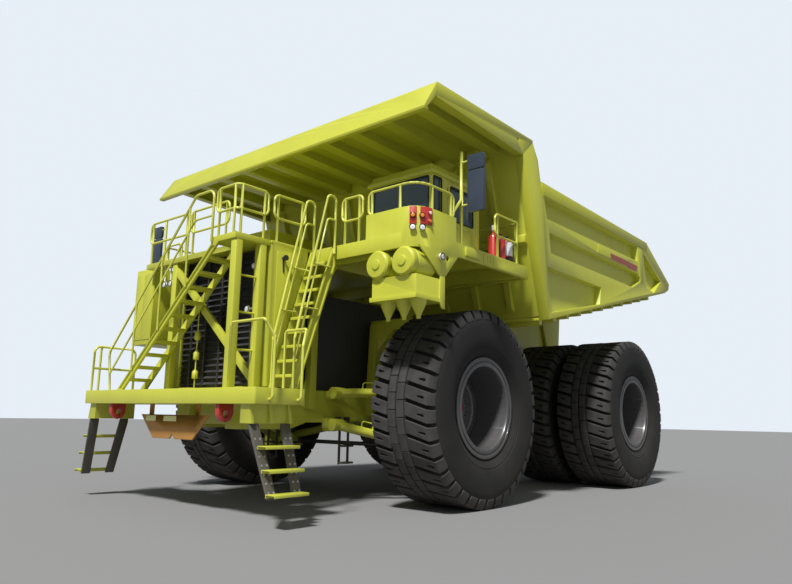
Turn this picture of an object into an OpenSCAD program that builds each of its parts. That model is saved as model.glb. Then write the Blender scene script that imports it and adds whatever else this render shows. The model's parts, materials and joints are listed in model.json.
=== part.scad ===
// Rigid mining dump truck with electric drive, standing as it parks.
// +Z is up, the front looks along -Y and the cab side is +X.
// Every fore-and-aft value counts from the front axle, and in_row() moves the truck so that the
// origin lies on the ground under the middle of its length and width.

/* [Wheels] */
// Distance from the front axle to the rear axle
wheelbase = 6280; // [6160:20:6400]
// Radius of a tyre over its lugs, which is also the height of the axles
tyre_r = 1770; // [1740:10:1790]
// Width of a tyre at its bulge
tyre_w = 1380; // [1300:10:1400]
// Middle of a front tyre from the centre line
front_wheel_x = 3030; // [3000:10:3080]
// Middle of an outer rear tyre from the centre line
rear_outer_x = 3300; // [3290:5:3330]
// Distance between the two tyres of a rear pair
dual_pitch = 1550; // [1540:5:1560]
// Radius of the bead seat of a rim
rim_r = 800; // [790:5:810]
// Lugs round each shoulder of a tyre
lug_count = 38; // [34:1:40]
// Width of the grooves between the lugs
lug_gap = 74; // [60:2:84]
// Depth of the tread
lug_depth = 80; // [60:5:90]
// Slant of the lugs from the axle's direction
lug_slant = 20; // [12:1:24]

/* [Frame] */
// Middle of a frame rail from the centre line
rail_x = 750; // [740:5:760]
// Width of a frame rail
rail_w = 400; // [360:10:420]
// Top of the rails under the engine
rail_top = 2040; // [2000:10:2060]
// Half of the bumper's width
bumper_x = 2567; // [2500:10:2600]
// Front face of the bumper
bumper_front = -4383; // [-4400:1:-4370]
// Rear face of the bumper
bumper_rear = -3394; // [-3420:2:-3380]
// Top of the bumper's deck
bumper_top = 1970; // [1950:5:2000]

/* [Decks and cab] */
// Top of the decks
deck_top = 4550; // [4500:10:4600]
// Depth of the deck's edge beams
deck_depth = 250; // [200:10:260]
// Outer edge of the decks
deck_x = 3850; // [3800:10:3880]
// Front edge of the side decks
deck_front = -2300; // [-2340:10:-2280]
// Rear edge of the decks
deck_rear = 1200; // [1100:10:1220]
// Outer face of the cab's door side
cab_left = 3500; // [3480:10:3520]
// Inner face of the cab's other side
cab_right = 2020; // [1980:10:2080]
// Front face of the cab
cab_front = -1500; // [-1540:10:-1480]
// Rear face of the cab
cab_rear = 50; // [0:10:100]
// Top of the cab's walls
cab_wall_top = 5820; // [5780:10:5860]
// Thickness of the cab's walls
cab_wall = 60; // [50:5:80]
// Height of the window sills
cab_sill = 5050; // [5000:10:5150]

/* [Dump body] */
// Half of the body's width over its ribs
body_x = 4010; // [3990:5:4040]
// Reach of the tail behind the hinge pin
tail_reach = 1325; // [1320:5:1330]
// Height of the canopy's top
canopy_top = 7181; // [7160:1:7200]
// Front lower edge of the canopy
canopy_front = -2380; // [-2420:10:-2340]
// Distance of the body's hinge pin behind the rear axle
hinge_behind = 1370; // [1360:5:1380]
// Height of the body's hinge pin
hinge_z = 3000; // [2995:5:3010]
// Radius of the hinge pin
hinge_pin_r = 110; // [100:5:120]
// Thickness of the side sheets
side_t = 60; // [40:5:80]
// How far the ribs stand out from the side sheets
rib_depth = 150; // [120:10:180]

/* [Hoist] */
// Distance of the lower hoist pins ahead of the rear axle
hoist_ahead = 2480; // [2460:10:2500]
// How far the cylinders lean forward when the body is down
hoist_rake = 200; // [190:5:210]
// Side place of the hoist cylinders
hoist_x = 1300; // [1290:5:1320]
// Height of the lower hoist pins
hoist_base_z = 1500; // [1490:5:1510]
// Height of the upper hoist pins when the body is down
hoist_top_z = 3600; // [3590:5:3610]

/* [Steering] */
// Kingpin from the centre line
kingpin_x = 2200; // [2190:5:2210]
// Radius of the kingpin's housing
kingpin_r = 130; // [110:5:130]
// Length of a steering arm
steer_arm = 750; // [720:10:780]
// Radius of a wheel spindle
spindle_r = 200; // [180:5:220]

/* [Hidden] */
$fn = 48;
fine = 72;
run_gap = 0.3;
door_gap = 6;
nose_y = bumper_front;
hinge_y = wheelbase + hinge_behind;
tail_y = hinge_y + tail_reach;
hoist_y = wheelbase - hoist_ahead;
hoist_top_y = hoist_y - hoist_rake;
mid_y = (nose_y + tail_y) / 2;
axle_z = tyre_r;
rail_out = rail_x + rail_w / 2;
rail_in = rail_x - rail_w / 2;
rear_inner_x = rear_outer_x - dual_pitch;
deck_under = deck_top - deck_depth;
plate_t = 20;
rim_half = 590;
rim_flange_r = 905;
lime = "#b5c22f";
dark = "#26282a";
steel = "#8b8f92";
red = "#b3251f";

// Moves the truck from the front axle's frame to the row's frame
module in_row() translate([0, -mid_y, 0]) children();

// Extrudes an outline drawn as (y, z) from x0 to x1
module yz(x0, x1) translate([x0, 0, 0]) rotate([90, 0, 90]) linear_extrude(x1 - x0) children();

// Extrudes an outline drawn as (x, z) from y0 to y1
module xz(y0, y1) translate([0, y1, 0]) rotate([90, 0, 0]) linear_extrude(y1 - y0) children();

// Extrudes an outline drawn as (x, y) from z0 to z1
module xy(z0, z1) translate([0, 0, z0]) linear_extrude(z1 - z0) children();

// Box between two values on each axis
module block(x, y, z) translate([x[0], y[0], z[0]]) cube([x[1] - x[0], y[1] - y[0], z[1] - z[0]]);

// Round bar between two points
module rod(p, q, r, roll = 0) {
  v = q - p;
  translate(p) rotate([0, acos(v.z / norm(v)), atan2(v.y, v.x)]) rotate([0, 0, roll])
    cylinder(r = r, h = norm(v));
}

// Points of an arc about c from angle a0 to a1
function arc(c, r, a0, a1) = [for (i = [0:4]) let (a = a0 + (a1 - a0) * i / 4)
  [c[0] + r * cos(a), c[1] + r * sin(a)]];

// Rectangle between two corners with rounded corners
function rounded(p, q, r) = concat(arc([q.x - r, p.y + r], r, -90, 0), arc([q.x - r, q.y - r], r, 0, 90),
  arc([p.x + r, q.y - r], r, 90, 180), arc([p.x + r, p.y + r], r, 180, 270));

// Line of points (x, y) shifted sideways by d, to the right of the way it runs
function side_way(p, q) = let (u = unit(q - p)) [u.y, -u.x];
function shifted(line, d) = let (last = len(line) - 1) [for (i = [0:last])
  let (a = side_way(line[max(i - 1, 0)], line[max(i, 1)]),
    b = side_way(line[min(i, last - 1)], line[min(i + 1, last)]))
  line[i] + (a + b) * d / (1 + a * b)];
function backwards(line) = [for (i = [len(line) - 1:-1:0]) line[i]];

// Arrow of length 1 along v
function unit(v) = v / norm(v);

// Elbow fitting of a tube that turns from a towards c near the corner b, a little thicker than r
module elbow(a, b, c, r, bend) {
  u = unit(a - b);
  v = unit(c - b);
  half = acos(u * v) / 2;
  middle = b + unit(u + v) * bend / sin(half);
  start = unit(b + u * bend / tan(half) - middle);
  n = unit(cross(start, b + v * bend / tan(half) - middle));
  tilt = acos(n.z);
  way = atan2(n.y, n.x);
  across = [cos(tilt) * cos(way), cos(tilt) * sin(way), -sin(tilt)];
  along = [-sin(way), cos(way), 0];
  translate(middle) rotate([0, tilt, way]) rotate([0, 0, atan2(start * along, start * across)])
    rotate_extrude(angle = 180 - 2 * half) translate([bend, 0]) circle(r = r + 1, $fn = 24);
}

// How far a bend's ends lie from the corner b
function bend_cut(a, b, c, bend) = bend / tan(acos(unit(a - b) * unit(c - b)) / 2);

// Tube through a list of points with rounded bends, with its rods rolled about their own axes
module bent_tube(points, r, bend, roll = 0) {
  last = len(points) - 1;
  for (i = [0:last - 1]) {
    p = points[i];
    q = points[i + 1];
    cut_p = i == 0 ? 0 : bend_cut(points[i - 1], p, q, bend) - 4;
    cut_q = i == last - 1 ? 0 : bend_cut(p, q, points[i + 2], bend) - 4;
    rod(p + unit(q - p) * cut_p, q - unit(q - p) * cut_q, r, roll);
    if (i < last - 1) elbow(p, q, points[i + 2], r, bend);
  }
}

// Both sides of what is alike on the left and on the right
module both_sides() {
  children();
  mirror([1, 0, 0]) children();
}

// FRAME AND AXLES

// Side outline of a frame rail: rises behind the front wheels and ends at the body's hinge
rail_bottom = [[bumper_rear, 1330], [-2300, 1330], [-1900, 1450], [1400, 1480], [3500, 2200],
  [wheelbase - 1280, 2480], [hinge_y - 200, 2640]];
rail_upper = [[hinge_y - 150, 3270], [3300, 3000], [1300, rail_top], [bumper_rear, rail_top]];
cross_y = wheelbase - 1680;
hinge_boss_r = 255;
arm_span = 1350;
arm_pivot_x = 1180;
arm_pivot_r = 110;
arm_inner_z = [2010, 1420];
arm_outer_z = [1950, 1150];
arm_boss_h = 200;
arm_leg_r = 85;
seat_top = 1190;
bracket_face = arm_pivot_x - arm_pivot_r - run_gap;
strut_x = 1750;
strut_r = 165;
strut_top = 3300;
post_y = [-1900, 900];
hoist_pin_r = 100;
hoist_eye_w = 200;
crosstube_r = 150;
nose_ball_r = 230;

module rail(s) {
  x0 = s > 0 ? rail_in : -rail_out;
  x1 = x0 + rail_w;
  difference() {
    union() {
      yz(x0, x1) polygon(concat(rail_bottom, rail_upper));
      translate([x0, hinge_y, hinge_z]) rotate([0, 90, 0])
        cylinder(r = hinge_boss_r, h = rail_w);
    }
    translate([x0 - 1, hinge_y, hinge_z]) rotate([0, 90, 0])
      cylinder(r = hinge_pin_r + run_gap, h = rail_w + 2);
  }
}

module frame() {
  color(lime) {
    rail(1);
    rail(-1);
    // Cross members at the engine, the front end and the body's rest
    rod([-rail_in - 10, 0, 1700], [rail_in + 10, 0, 1700], 190);
    block([-rail_in - 10, rail_in + 10], [-3300, -3000], [1400, 1980]);
    rod([-rail_in - 10, hinge_y - 450, 2890], [rail_in + 10, hinge_y - 450, 2890], 180);
    // Cross member and socket of the rear axle's nose
    difference() {
      union() {
        block([-rail_out + 50, rail_out - 50], [cross_y - 100, cross_y + 100], [2200, 2600]);
        xz(cross_y - 100, cross_y + 100) polygon([[-rail_out + 50, 2210], [-420, 1420],
          [420, 1420], [rail_out - 50, 2210]]);
      }
      translate([0, cross_y + 100, axle_z]) sphere(r = nose_ball_r + run_gap);
    }
    // Seats of the rear struts
    both_sides() translate([rail_x, wheelbase + rear_strut_y, rear_seat_z])
      cylinder(r = 165, h = 80);
    for (s = [-1, 1]) {
      // Brackets that the hoist's cross tube passes through
      difference() {
        yz(s * rail_x - 100, s * rail_x + 100) polygon([[hoist_y - 400, 2260],
          [hoist_y + 400, 2400], [hoist_y + 190, 1460], [hoist_y + 110, 1290],
          [hoist_y - 110, 1290], [hoist_y - 190, 1460]]);
        rod([s * rail_x - 110, hoist_y, hoist_base_z], [s * rail_x + 110, hoist_y, hoist_base_z],
          crosstube_r + run_gap);
      }
      // Tower over the strut, tapering upwards, and its roof
      yz(s > 0 ? rail_out - 5 : -rail_out - 200, s > 0 ? rail_out + 200 : -rail_out + 5)
        polygon([[-330, 1600], [330, 1600], [230, 3420], [170, 3520], [-170, 3520],
          [-230, 3420]]);
      xz(-200, 200) polygon([for (p = [[rail_out, 3520], [strut_x + 130, 3520],
        [strut_x + 190, 3460], [strut_x + 190, strut_top], [strut_x - 200, strut_top],
        [rail_out, 2700]]) [s * p.x, p.y]]);
      // Brackets of the suspension arms, with a sloped lower edge
      for (y = [-arm_span, arm_span], z = arm_inner_z)
        yz(s > 0 ? rail_out - 5 : -bracket_face, s > 0 ? bracket_face : -rail_out + 5)
          polygon([[y - 100, z - 130], [y + 100, z - 130], [y + 150, z - 60],
            [y + 150, min(z + 110, rail_top)], [y - 150, min(z + 110, rail_top)],
            [y - 150, z - 60]]);
    }
  }
}

// Posts that carry the decks, with a splayed foot on the rail's side
module deck_posts() {
  color(lime) both_sides() for (y = post_y) {
    difference() {
      block([rail_out + run_gap, rail_out + 150], [y - 75, y + 75], [1700, deck_under - run_gap]);
      block([rail_out + 20, rail_out + 130], [y - 55, y + 76], [2100, deck_under - 200]);
    }
    yz(rail_out + run_gap, rail_out + 30) polygon([[y - 180, 1720], [y + 180, 1720],
      [y + 180, 1950], [y + 75, 2250], [y - 75, 2250], [y - 180, 1950]]);
    xz(y - 12, y + 12) polygon([[rail_out + 149, 3700], [rail_out + 149, deck_under - run_gap],
      [hood_x + 260, deck_under - run_gap]]);
  }
}

// Cross tube that carries the hoist cylinders, with a pin at each end
module hoist_crosstube() {
  end = hoist_x - hoist_eye_w / 2 - 5;
  color(steel) {
    rod([-end, hoist_y, hoist_base_z], [end, hoist_y, hoist_base_z], crosstube_r);
    rod([-end - hoist_eye_w - 15, hoist_y, hoist_base_z],
      [end + hoist_eye_w + 15, hoist_y, hoist_base_z], hoist_pin_r);
    both_sides() rod([end + hoist_eye_w + 10, hoist_y, hoist_base_z],
      [end + hoist_eye_w + 40, hoist_y, hoist_base_z], hoist_pin_r + 30);
  }
}

module front_arms() {
  color(lime) both_sides() for (i = [0, 1]) {
    zi = arm_inner_z[i] - 10;
    low = i == 1 ? 1 : 0;
    z_boss = arm_outer_z[i] - low * arm_boss_h;
    zo = z_boss + arm_boss_h / 2 - low * 10;
    for (s = [-1, 1]) {
      rod([arm_pivot_x, s * arm_span - 130, zi], [arm_pivot_x, s * arm_span + 130, zi],
        arm_pivot_r);
      rod([arm_pivot_x, s * arm_span, zi], [kingpin_x - 60, s * 40, zo], arm_leg_r);
    }
    // Grab loops on the leg that faces forward
    for (t = [0.3, 0.6]) {
      a = [arm_pivot_x, -arm_span, zi] * (1 - t) + [kingpin_x - 60, -40, zo] * t;
      b = a + ([kingpin_x - 60, -40, zo] - [arm_pivot_x, -arm_span, zi]) * 0.13;
      bent_tube([a, a + [0, 0, 190], b + [0, 0, 190], b], 12, 45, 40);
    }
    translate([kingpin_x, 0, z_boss]) cylinder(r = kingpin_r, h = arm_boss_h);
    if (low == 1) {
      block([strut_x - 180, kingpin_x - 90], [-150, 150], [zo - 50, zo + 60]);
      translate([strut_x, 0, zo - 50]) cylinder(r = strut_r + 25, h = seat_top - zo + 50);
    }
  }
}

axle_tube_r = 560;
motor_r = 600;
stub_r = 250;
motor_end = 2950;
stub_end = 3180;
housing_r = 640;
strut_foot = 300;
rear_strut_y = 700;
rear_seat_z = 2540;

module rear_axle() {
  tip = cross_y + 100 - wheelbase;
  color(dark) translate([0, wheelbase, axle_z]) {
    // Housing swells in the middle and steps out to the wheel motors
    rotate([0, 90, 0]) rotate_extrude($fn = fine) polygon([[0, -1000], [axle_tube_r, -1000],
      [axle_tube_r, -560], [housing_r, -380], [housing_r, 380], [axle_tube_r, 560],
      [axle_tube_r, 1000], [0, 1000]]);
    both_sides() {
      rotate([0, 90, 0]) rotate_extrude($fn = fine) polygon([[0, 990], [motor_r, 990],
        [motor_r, motor_end - 60], [motor_r - 60, motor_end], [stub_r, motor_end],
        [stub_r, stub_end], [0, stub_end]]);
      // Bracket under each rear strut
      yz(rail_x - 170, rail_x + 170) polygon([[300, -100], [rear_strut_y - 60, -100],
        [rear_strut_y + 160, 60], [rear_strut_y + 160, strut_foot], [rear_strut_y - 160, strut_foot],
        [400, 420]]);
    }
    // Nose that tapers forward to the ball in the frame's socket
    xy(-210, 210) polygon([[-520, -330], [-170, tip + 190], [170, tip + 190], [520, -330]]);
    translate([0, tip, 0]) sphere(r = nose_ball_r);
    rod([0, tip + 20, 0], [0, tip + 260, 0], 150);
  }
}

module struts() {
  color(steel) both_sides() {
    translate([strut_x, 0, seat_top]) cylinder(r = strut_r, h = 1150);
    translate([strut_x, 0, seat_top + 1150]) cylinder(r = strut_r + 20, h = 90);
    translate([strut_x, 0, seat_top + 1240])
      cylinder(r = strut_r - 35, h = strut_top - seat_top - 1240);
    translate([rail_x, wheelbase + rear_strut_y, axle_z + strut_foot])
      cylinder(r = 150, h = rear_seat_z - axle_z - strut_foot - 180);
    translate([rail_x, wheelbase + rear_strut_y, rear_seat_z - 185]) cylinder(r = 120, h = 185);
  }
}

// WHEELS

// Half of a tyre's cross-section as (radius, distance from its middle)
function tyre_half() = let (h = tyre_w / 2) [[rim_r, h - 150], [rim_flange_r, h - 150],
  [1050, h - 40], [1260, h], [1500, h - 8], [tyre_r - 70, h - 45], [tyre_r, h - 90]];

// Ring of a tyre: the tread is cut into slanted lugs on both shoulders, with two ribs between
module tyre_ring() {
  a = tyre_half();
  rotate([0, 90, 0]) difference() {
    rotate_extrude($fn = fine) polygon(concat([for (p = a) [p.x, -p.y]],
      [[tyre_r, tread_shift - rib_slot], [tyre_r - 60, tread_shift - 8],
        [tyre_r - 60, tread_shift + 8], [tyre_r, tread_shift + rib_slot]],
      [for (i = [len(a) - 1:-1:0]) a[i]]));
    for (i = [0:lug_count - 1], k = [0, 1])
      rotate([0, 0, 360 / lug_count * (i + k / 2)]) tread_groove(k);
  }
}

// Cutter of one groove, drawn as (radius, distance along the slanted groove), for shoulder k
module tread_groove(k) {
  inner = (tread_shift * (k == 0 ? 1 : -1) + rib_slot + rib_w) / cos(lug_slant);
  outer = tyre_w / 2 + 60;
  mirror([0, 0, k]) rotate([k == 0 ? -lug_slant : lug_slant, 0, 0])
    translate([0, lug_gap / 2, 0]) rotate([90, 0, 0]) linear_extrude(lug_gap)
      polygon([[tyre_r - lug_depth, inner], [tyre_r + 20, inner], [tyre_r + 20, outer],
        [tyre_r - 3 * lug_depth, outer], [tyre_r - lug_depth, tyre_w / 2 - 130]]);
}

// Outline of a rim's rings and barrel as (radius, distance outwards from its middle)
function rim_outline(disc_in) = let (seat = tyre_w / 2 - 150) [[rim_flange_r, rim_half],
  [rim_flange_r - 60, rim_half], [rim_flange_r - 66, rim_half - 22],
  [rim_flange_r - 84, rim_half - 22], [rim_flange_r - 90, rim_half], [745, rim_half],
  [730, rim_half - 60], [712, 120], [690, disc_in], [690, disc_in - 70], [735, disc_in - 110],
  [745, -rim_half], [rim_flange_r, -rim_half], [rim_flange_r, -seat], [rim_r, -seat],
  [rim_r, seat], [rim_flange_r, seat]];

// Revolved rim with its dished disc and its hub, bored for a spindle
module rim_ring(disc, hub_r, hub, bore_r, bore) {
  rotate([0, 90, 0]) difference() {
    union() {
      rotate_extrude($fn = fine) polygon(rim_outline(disc[1]));
      // Disc with the ring that the wheel nuts clamp, drawn from the axis outwards
      rotate_extrude($fn = fine) polygon([[0, disc[0]], [740, disc[0]], [740, disc[1] - 30],
        [680, disc[1] - 30], [670, disc[1] + 25], [560, disc[1] + 25], [540, disc[1]],
        [0, disc[1]]]);
      rotate_extrude($fn = fine) polygon([[0, hub[0]], [hub_r, hub[0]], [hub_r, hub[1] - 110],
        [hub_r - 50, hub[1] - 30], [hub_r - 150, hub[1] - 30], [hub_r - 170, hub[1]],
        [0, hub[1]]]);
    }
    translate([0, 0, bore[0]]) cylinder(r = bore_r, h = bore[1] - bore[0]);
  }
}

module front_rim(s) {
  color(dark) translate([s * front_wheel_x, 0, axle_z]) mirror([s > 0 ? 0 : 1, 0, 0])
    rim_ring([-170, -90], 330, [-400, 40], spindle_r + run_gap, [-401, -70]);
}

module front_tyre(s) {
  color(dark) translate([s * front_wheel_x, 0, axle_z]) tyre_ring();
}

module rear_rims(s) {
  hub_out = stub_end + 60 - rear_outer_x;
  color(dark) translate([0, wheelbase, axle_z]) mirror([s > 0 ? 0 : 1, 0, 0]) {
    translate([rear_outer_x, 0, 0])
      rim_ring([motor_end + 20 - rear_outer_x, motor_end + 100 - rear_outer_x], 380,
        [motor_end + 20 - rear_outer_x, hub_out], stub_r + run_gap,
        [motor_end - rear_outer_x, stub_end + 5 - rear_outer_x]);
    translate([rear_inner_x, 0, 0]) rotate([0, 90, 0]) difference() {
      rotate_extrude($fn = fine) polygon([[735, -rim_half], [rim_flange_r, -rim_half],
        [rim_flange_r, 150 - tyre_w / 2], [rim_r, 150 - tyre_w / 2],
        [rim_r, tyre_w / 2 - 150], [rim_flange_r, tyre_w / 2 - 150],
        [rim_flange_r, rim_half], [735, rim_half], [735, 60], [705, 20], [705, -20],
        [735, -60]]);
    }
    // Spacer band between the two rims
    translate([rear_inner_x + rim_half - 5, 0, 0]) rotate([0, 90, 0])
      rotate_extrude($fn = fine) polygon([[735, 0], [790, 0],
        [790, dual_pitch - 2 * rim_half + 10], [735, dual_pitch - 2 * rim_half + 10]]);
  }
}

module rear_tyres(s) {
  color(dark) for (x = [rear_inner_x, rear_outer_x])
    translate([s * x, wheelbase, axle_z]) tyre_ring();
}

// Side step of the tread's middle groove, its half width, and the width of a rib
tread_shift = -60;
rib_slot = 15;
rib_w = 155;
arm_drop = 930;
riser_x = kingpin_x + kingpin_r + 10;

module knuckle(s) {
  color(lime) mirror([s > 0 ? 0 : 1, 0, 0]) {
    translate([kingpin_x, 0, arm_outer_z[1] + run_gap])
      cylinder(r = kingpin_r, h = arm_outer_z[0] - arm_outer_z[1] - 2 * run_gap);
    rod([kingpin_x, 0, axle_z - 60], [front_wheel_x - 600, 0, axle_z - 20], 210);
    rod([front_wheel_x - 560, 0, axle_z], [front_wheel_x - 75, 0, axle_z], spindle_r);
    rod([front_wheel_x - 620, 0, axle_z], [front_wheel_x - 420, 0, axle_z], 400);
    // Steering arm: drops past the lower suspension arm and runs back to the tie rod
    block([riser_x, riser_x + 90], [-110, 110], [arm_drop - 50, axle_z - 150]);
    xy(arm_drop - 50, arm_drop - 10) polygon([[riser_x, -110], [riser_x + 90, -110],
      [riser_x + 90, 110], [kingpin_x + 85, steer_arm], [kingpin_x - 85, steer_arm],
      [kingpin_x - 60, 300]]);
    translate([kingpin_x, steer_arm, arm_drop - 50]) cylinder(r = 90, h = 40);
  }
}

module tie_rod() {
  color(steel) {
    rod([-kingpin_x, steer_arm, arm_drop + 50], [kingpin_x, steer_arm, arm_drop + 50], 45);
    both_sides() translate([kingpin_x, steer_arm, arm_drop - 10 + run_gap])
      cylinder(r = 70, h = 110);
  }
}

// FRONT END

beam_w = 180;
bumper_low = 1730;
stair_foot = -3050;
guard_x = 1280;
guard_w = 150;
guard_y = [-3900, -3400];
landing_z = deck_top - 100;
hood_x = 1390;
hood_front = -3260;
hood_rear = -2430;
hood_sheet = 40;

module front_bumper() {
  color(lime) {
    // Ring of box beams with rounded corners, cross beams and a deck sheet
    xy(bumper_low, bumper_top) difference() {
      polygon(rounded([-bumper_x, bumper_front], [bumper_x, bumper_rear], 45));
      polygon([[-bumper_x + beam_w, bumper_front + 2 * beam_w],
        [bumper_x - beam_w, bumper_front + 2 * beam_w], [bumper_x - beam_w, bumper_rear - beam_w],
        [-bumper_x + beam_w, bumper_rear - beam_w]]);
    }
    for (x = [-900, 900 - beam_w])
      block([x, x + beam_w], [bumper_front + 50, bumper_rear - 50], [bumper_low, bumper_top]);
    block([-bumper_x + 60, bumper_x - 60], [bumper_front + 60, bumper_rear - 50],
      [bumper_top - 40, bumper_top]);
    // Shelf behind the bumper that the side stair stands on
    block([hood_x, 2010], [bumper_rear - 20, stair_foot], [bumper_top - 80, bumper_top]);
    // Brackets of the lower ladders
    both_sides() {
      block([2200, 2380], [-4330, -3550], [1450, bumper_low + 10]);
      for (y = [-4330, -3970, -3610])
        xz(y, y + 60) polygon([[2370, 1450], [2470, 1450], [2400, bumper_low + 10],
          [2370, bumper_low + 10]]);
    }
  }
}

module tow_hooks() {
  eye = [-4200, 1580];
  color(red) both_sides() difference() {
    yz(1580, 1680) polygon(concat([[eye.x - 135, bumper_low], [eye.x - 135, eye.y]],
      arc(eye, 130, 190, 350), [[eye.x + 135, eye.y], [eye.x + 135, bumper_low]]));
    translate([1570, eye.x, eye.y]) rotate([0, 90, 0]) cylinder(r = 50, h = 120);
  }
}

module nose_plate() {
  color("#b5651d") xz(-4060, -4030) {
    polygon([[-1030, 1550], [1030, 1550], [600, 1150], [80, 1150], [0, 1230], [-80, 1150],
      [-600, 1150]]);
    for (s = [-1, 1]) translate([s * 700 - 60, 1540]) square([120, bumper_low - 1540]);
  }
}

slat_pitch = 110;

module radiator() {
  core_x = hood_x - hood_sheet - 130;
  color(dark) {
    block([-core_x, core_x], [hood_front + 80, -2950], [rail_top, landing_z - 10]);
    // Slanted louvres before the core, held by upright bars
    for (z = [rail_top + 60:slat_pitch:landing_z - 120])
      yz(-core_x, core_x) polygon([[hood_front + 20, z], [hood_front + 32, z],
        [hood_front + 90, z + 55], [hood_front + 78, z + 55]]);
    for (x = [-900:450:900]) block([x - 15, x + 15], [hood_front + 12, hood_front + 85],
      [rail_top, landing_z - 10]);
  }
}

module hood() {
  color(lime) both_sides() {
    block([hood_x - hood_sheet, hood_x], [hood_front + 70, hood_rear], [rail_top, deck_top - 49]);
    // Rounded column at the front corner
    xy(rail_top, deck_top - 49) polygon(concat(arc([hood_x - 60, hood_front + 60], 60, -90, 0),
      [[hood_x, hood_front + 75], [hood_x - hood_sheet, hood_front + 75],
      [hood_x - hood_sheet - 20, hood_front + 60], [hood_x - hood_sheet - 130, hood_front + 60],
      [hood_x - hood_sheet - 130, hood_front]]));
    // Raised panel on the side, and the sheet that closes the rear
    yz(hood_x - 1, hood_x + 8) polygon(rounded([hood_front + 130, 2500], [hood_rear - 60, 4380], 40));
    block([rail_in, hood_x - hood_sheet + 1], [hood_rear - 40, hood_rear],
      [rail_top, deck_top - 49]);
  }
  // Deck over the engine, on cross beams that rest on the posts
  color(lime) {
    block([-hood_x, hood_x], [hood_front, deck_rear], [deck_top - 50, deck_top]);
    for (y = post_y) block([-hood_x, hood_x], [y - 60, y + 60], [deck_under, deck_top - 45]);
  }
}

module engine_block() {
  color(dark) block([-800, 800], [-2350, 900], [rail_top, 3900]);
}

module radiator_guard() {
  color(lime) {
    for (x = [-guard_x, guard_x], y = guard_y) if (x > 0 || y == guard_y[1])
      xy(bumper_top, landing_z) polygon(rounded([x - guard_w / 2, y - guard_w / 2],
        [x + guard_w / 2, y + guard_w / 2], 25));
    for (z = [2620, 3240, 3860])
      rod([guard_x, guard_y[0], z], [guard_x, guard_y[1], z], 18);
    // Diagonal brace across the radiator
    xz(guard_y[1] - 60, guard_y[1]) polygon([[guard_x, 2050], [guard_x, 2230],
      [-guard_x, 4430], [-guard_x, 4250]]);
    // Rod that hangs from the brace with three canisters on it
    rod([-400, guard_y[1] - 30, bumper_top], [-400, guard_y[1] - 30, 3560], 12);
    for (z = [2195, 2540, 2900]) translate([-400, guard_y[1] - 30, z]) rotate_extrude($fn = 24)
      polygon([[0, 0], [45, 0], [55, 15], [55, 120], [42, 145], [22, 150], [22, 170], [0, 170]]);
  }
}

stair_low = [-2130, bumper_top];
stair_high = [690, landing_z];
stair_y = [-4000, -3500];
stringer = 200;
front_steps = 10;

module front_stair() {
  color(lime) {
    // Stringers are channels, with their webs sunk between two flanges
    for (k = [0, 1]) {
      y = k == 0 ? stair_y[0] : stair_y[1] - 45;
      difference() {
        xz(y, y + 45) polygon([stair_low, [stair_low.x + stringer, stair_low.y],
          [stair_high.x + stringer, stair_high.y], stair_high]);
        xz(k == 0 ? y - 1 : y + 20, k == 0 ? y + 25 : y + 46) polygon([
          [stair_low.x + 90, stair_low.y + 50], [stair_low.x + stringer + 10, stair_low.y + 50],
          [stair_high.x + stringer - 90, stair_high.y - 50], [stair_high.x - 10, stair_high.y - 50]]);
      }
    }
    for (i = [1:front_steps]) {
      t = i / (front_steps + 1);
      x = stair_low.x + (stair_high.x - stair_low.x) * t;
      z = stair_low.y + (stair_high.y - stair_low.y) * t;
      // Tread with a turned-down nose on both edges
      xz(stair_y[0] + 30, stair_y[1] - 30) polygon([[x, z + 15], [x, z - 40], [x + 12, z - 40],
        [x + 12, z - 5], [x + 198, z - 5], [x + 198, z - 40], [x + 210, z - 40], [x + 210, z + 15]]);
    }
    // Landing at the top and walkway in front of the radiator
    block([stair_high.x - 20, 1360], [stair_y[0], hood_front], [landing_z, deck_top]);
    block([-2300, stair_high.x], [stair_y[1], hood_front], [landing_z, deck_top]);
  }
}

side_low = [-3150, bumper_top];
side_high = [deck_front, deck_top - 60];
side_x = [1400, 1990];
side_steps = 9;

module side_stair() {
  low = [side_low.x - 60, side_low.y];
  color(lime) {
    for (k = [0, 1]) {
      x = k == 0 ? side_x[0] : side_x[1] - 40;
      difference() {
        yz(x, x + 40) polygon([low, [side_low.x + 90, side_low.y],
          [side_high.x, side_high.y - 300], side_high, [side_high.x - 80, side_high.y]]);
        yz(k == 0 ? x - 1 : x + 18, k == 0 ? x + 22 : x + 41) polygon([
          [low.x + 42, low.y + 40], [low.x + 140, low.y + 80],
          [side_high.x - 30, side_high.y - 290], [side_high.x - 60, side_high.y - 60]]);
      }
    }
    for (i = [1:side_steps]) {
      t = i / (side_steps + 1);
      y = side_low.x + (side_high.x - side_low.x) * t;
      z = side_low.y + (side_high.y - side_low.y) * t;
      yz(side_x[0] + 30, side_x[1] - 30) polygon([[y - 90, z + 15], [y - 90, z - 35],
        [y - 80, z - 35], [y - 80, z - 5], [y + 60, z - 5], [y + 60, z + 15]]);
    }
  }
}

// Lower ladders: (x, y front, y rear, z) of the top and the foot
ladder_top = [2400, -4320, -3560, 1450];
ladder_foot = [2760, -4220, -3580, 440];
belt_w = 170;

module ladder_belts() {
  color(dark) both_sides() for (k = [0, 1]) {
    a = [ladder_top[0], ladder_top[1 + k] + (k == 0 ? 0 : -belt_w), ladder_top[3]];
    b = [ladder_foot[0], ladder_foot[1 + k] + (k == 0 ? 0 : -belt_w), ladder_foot[3]];
    hull() for (p = [a, b]) translate([p.x - 12, p.y, p.z - (p == b ? 30 : 60)])
      cube([24, belt_w, p == b ? 30 : 60]);
  }
}

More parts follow.
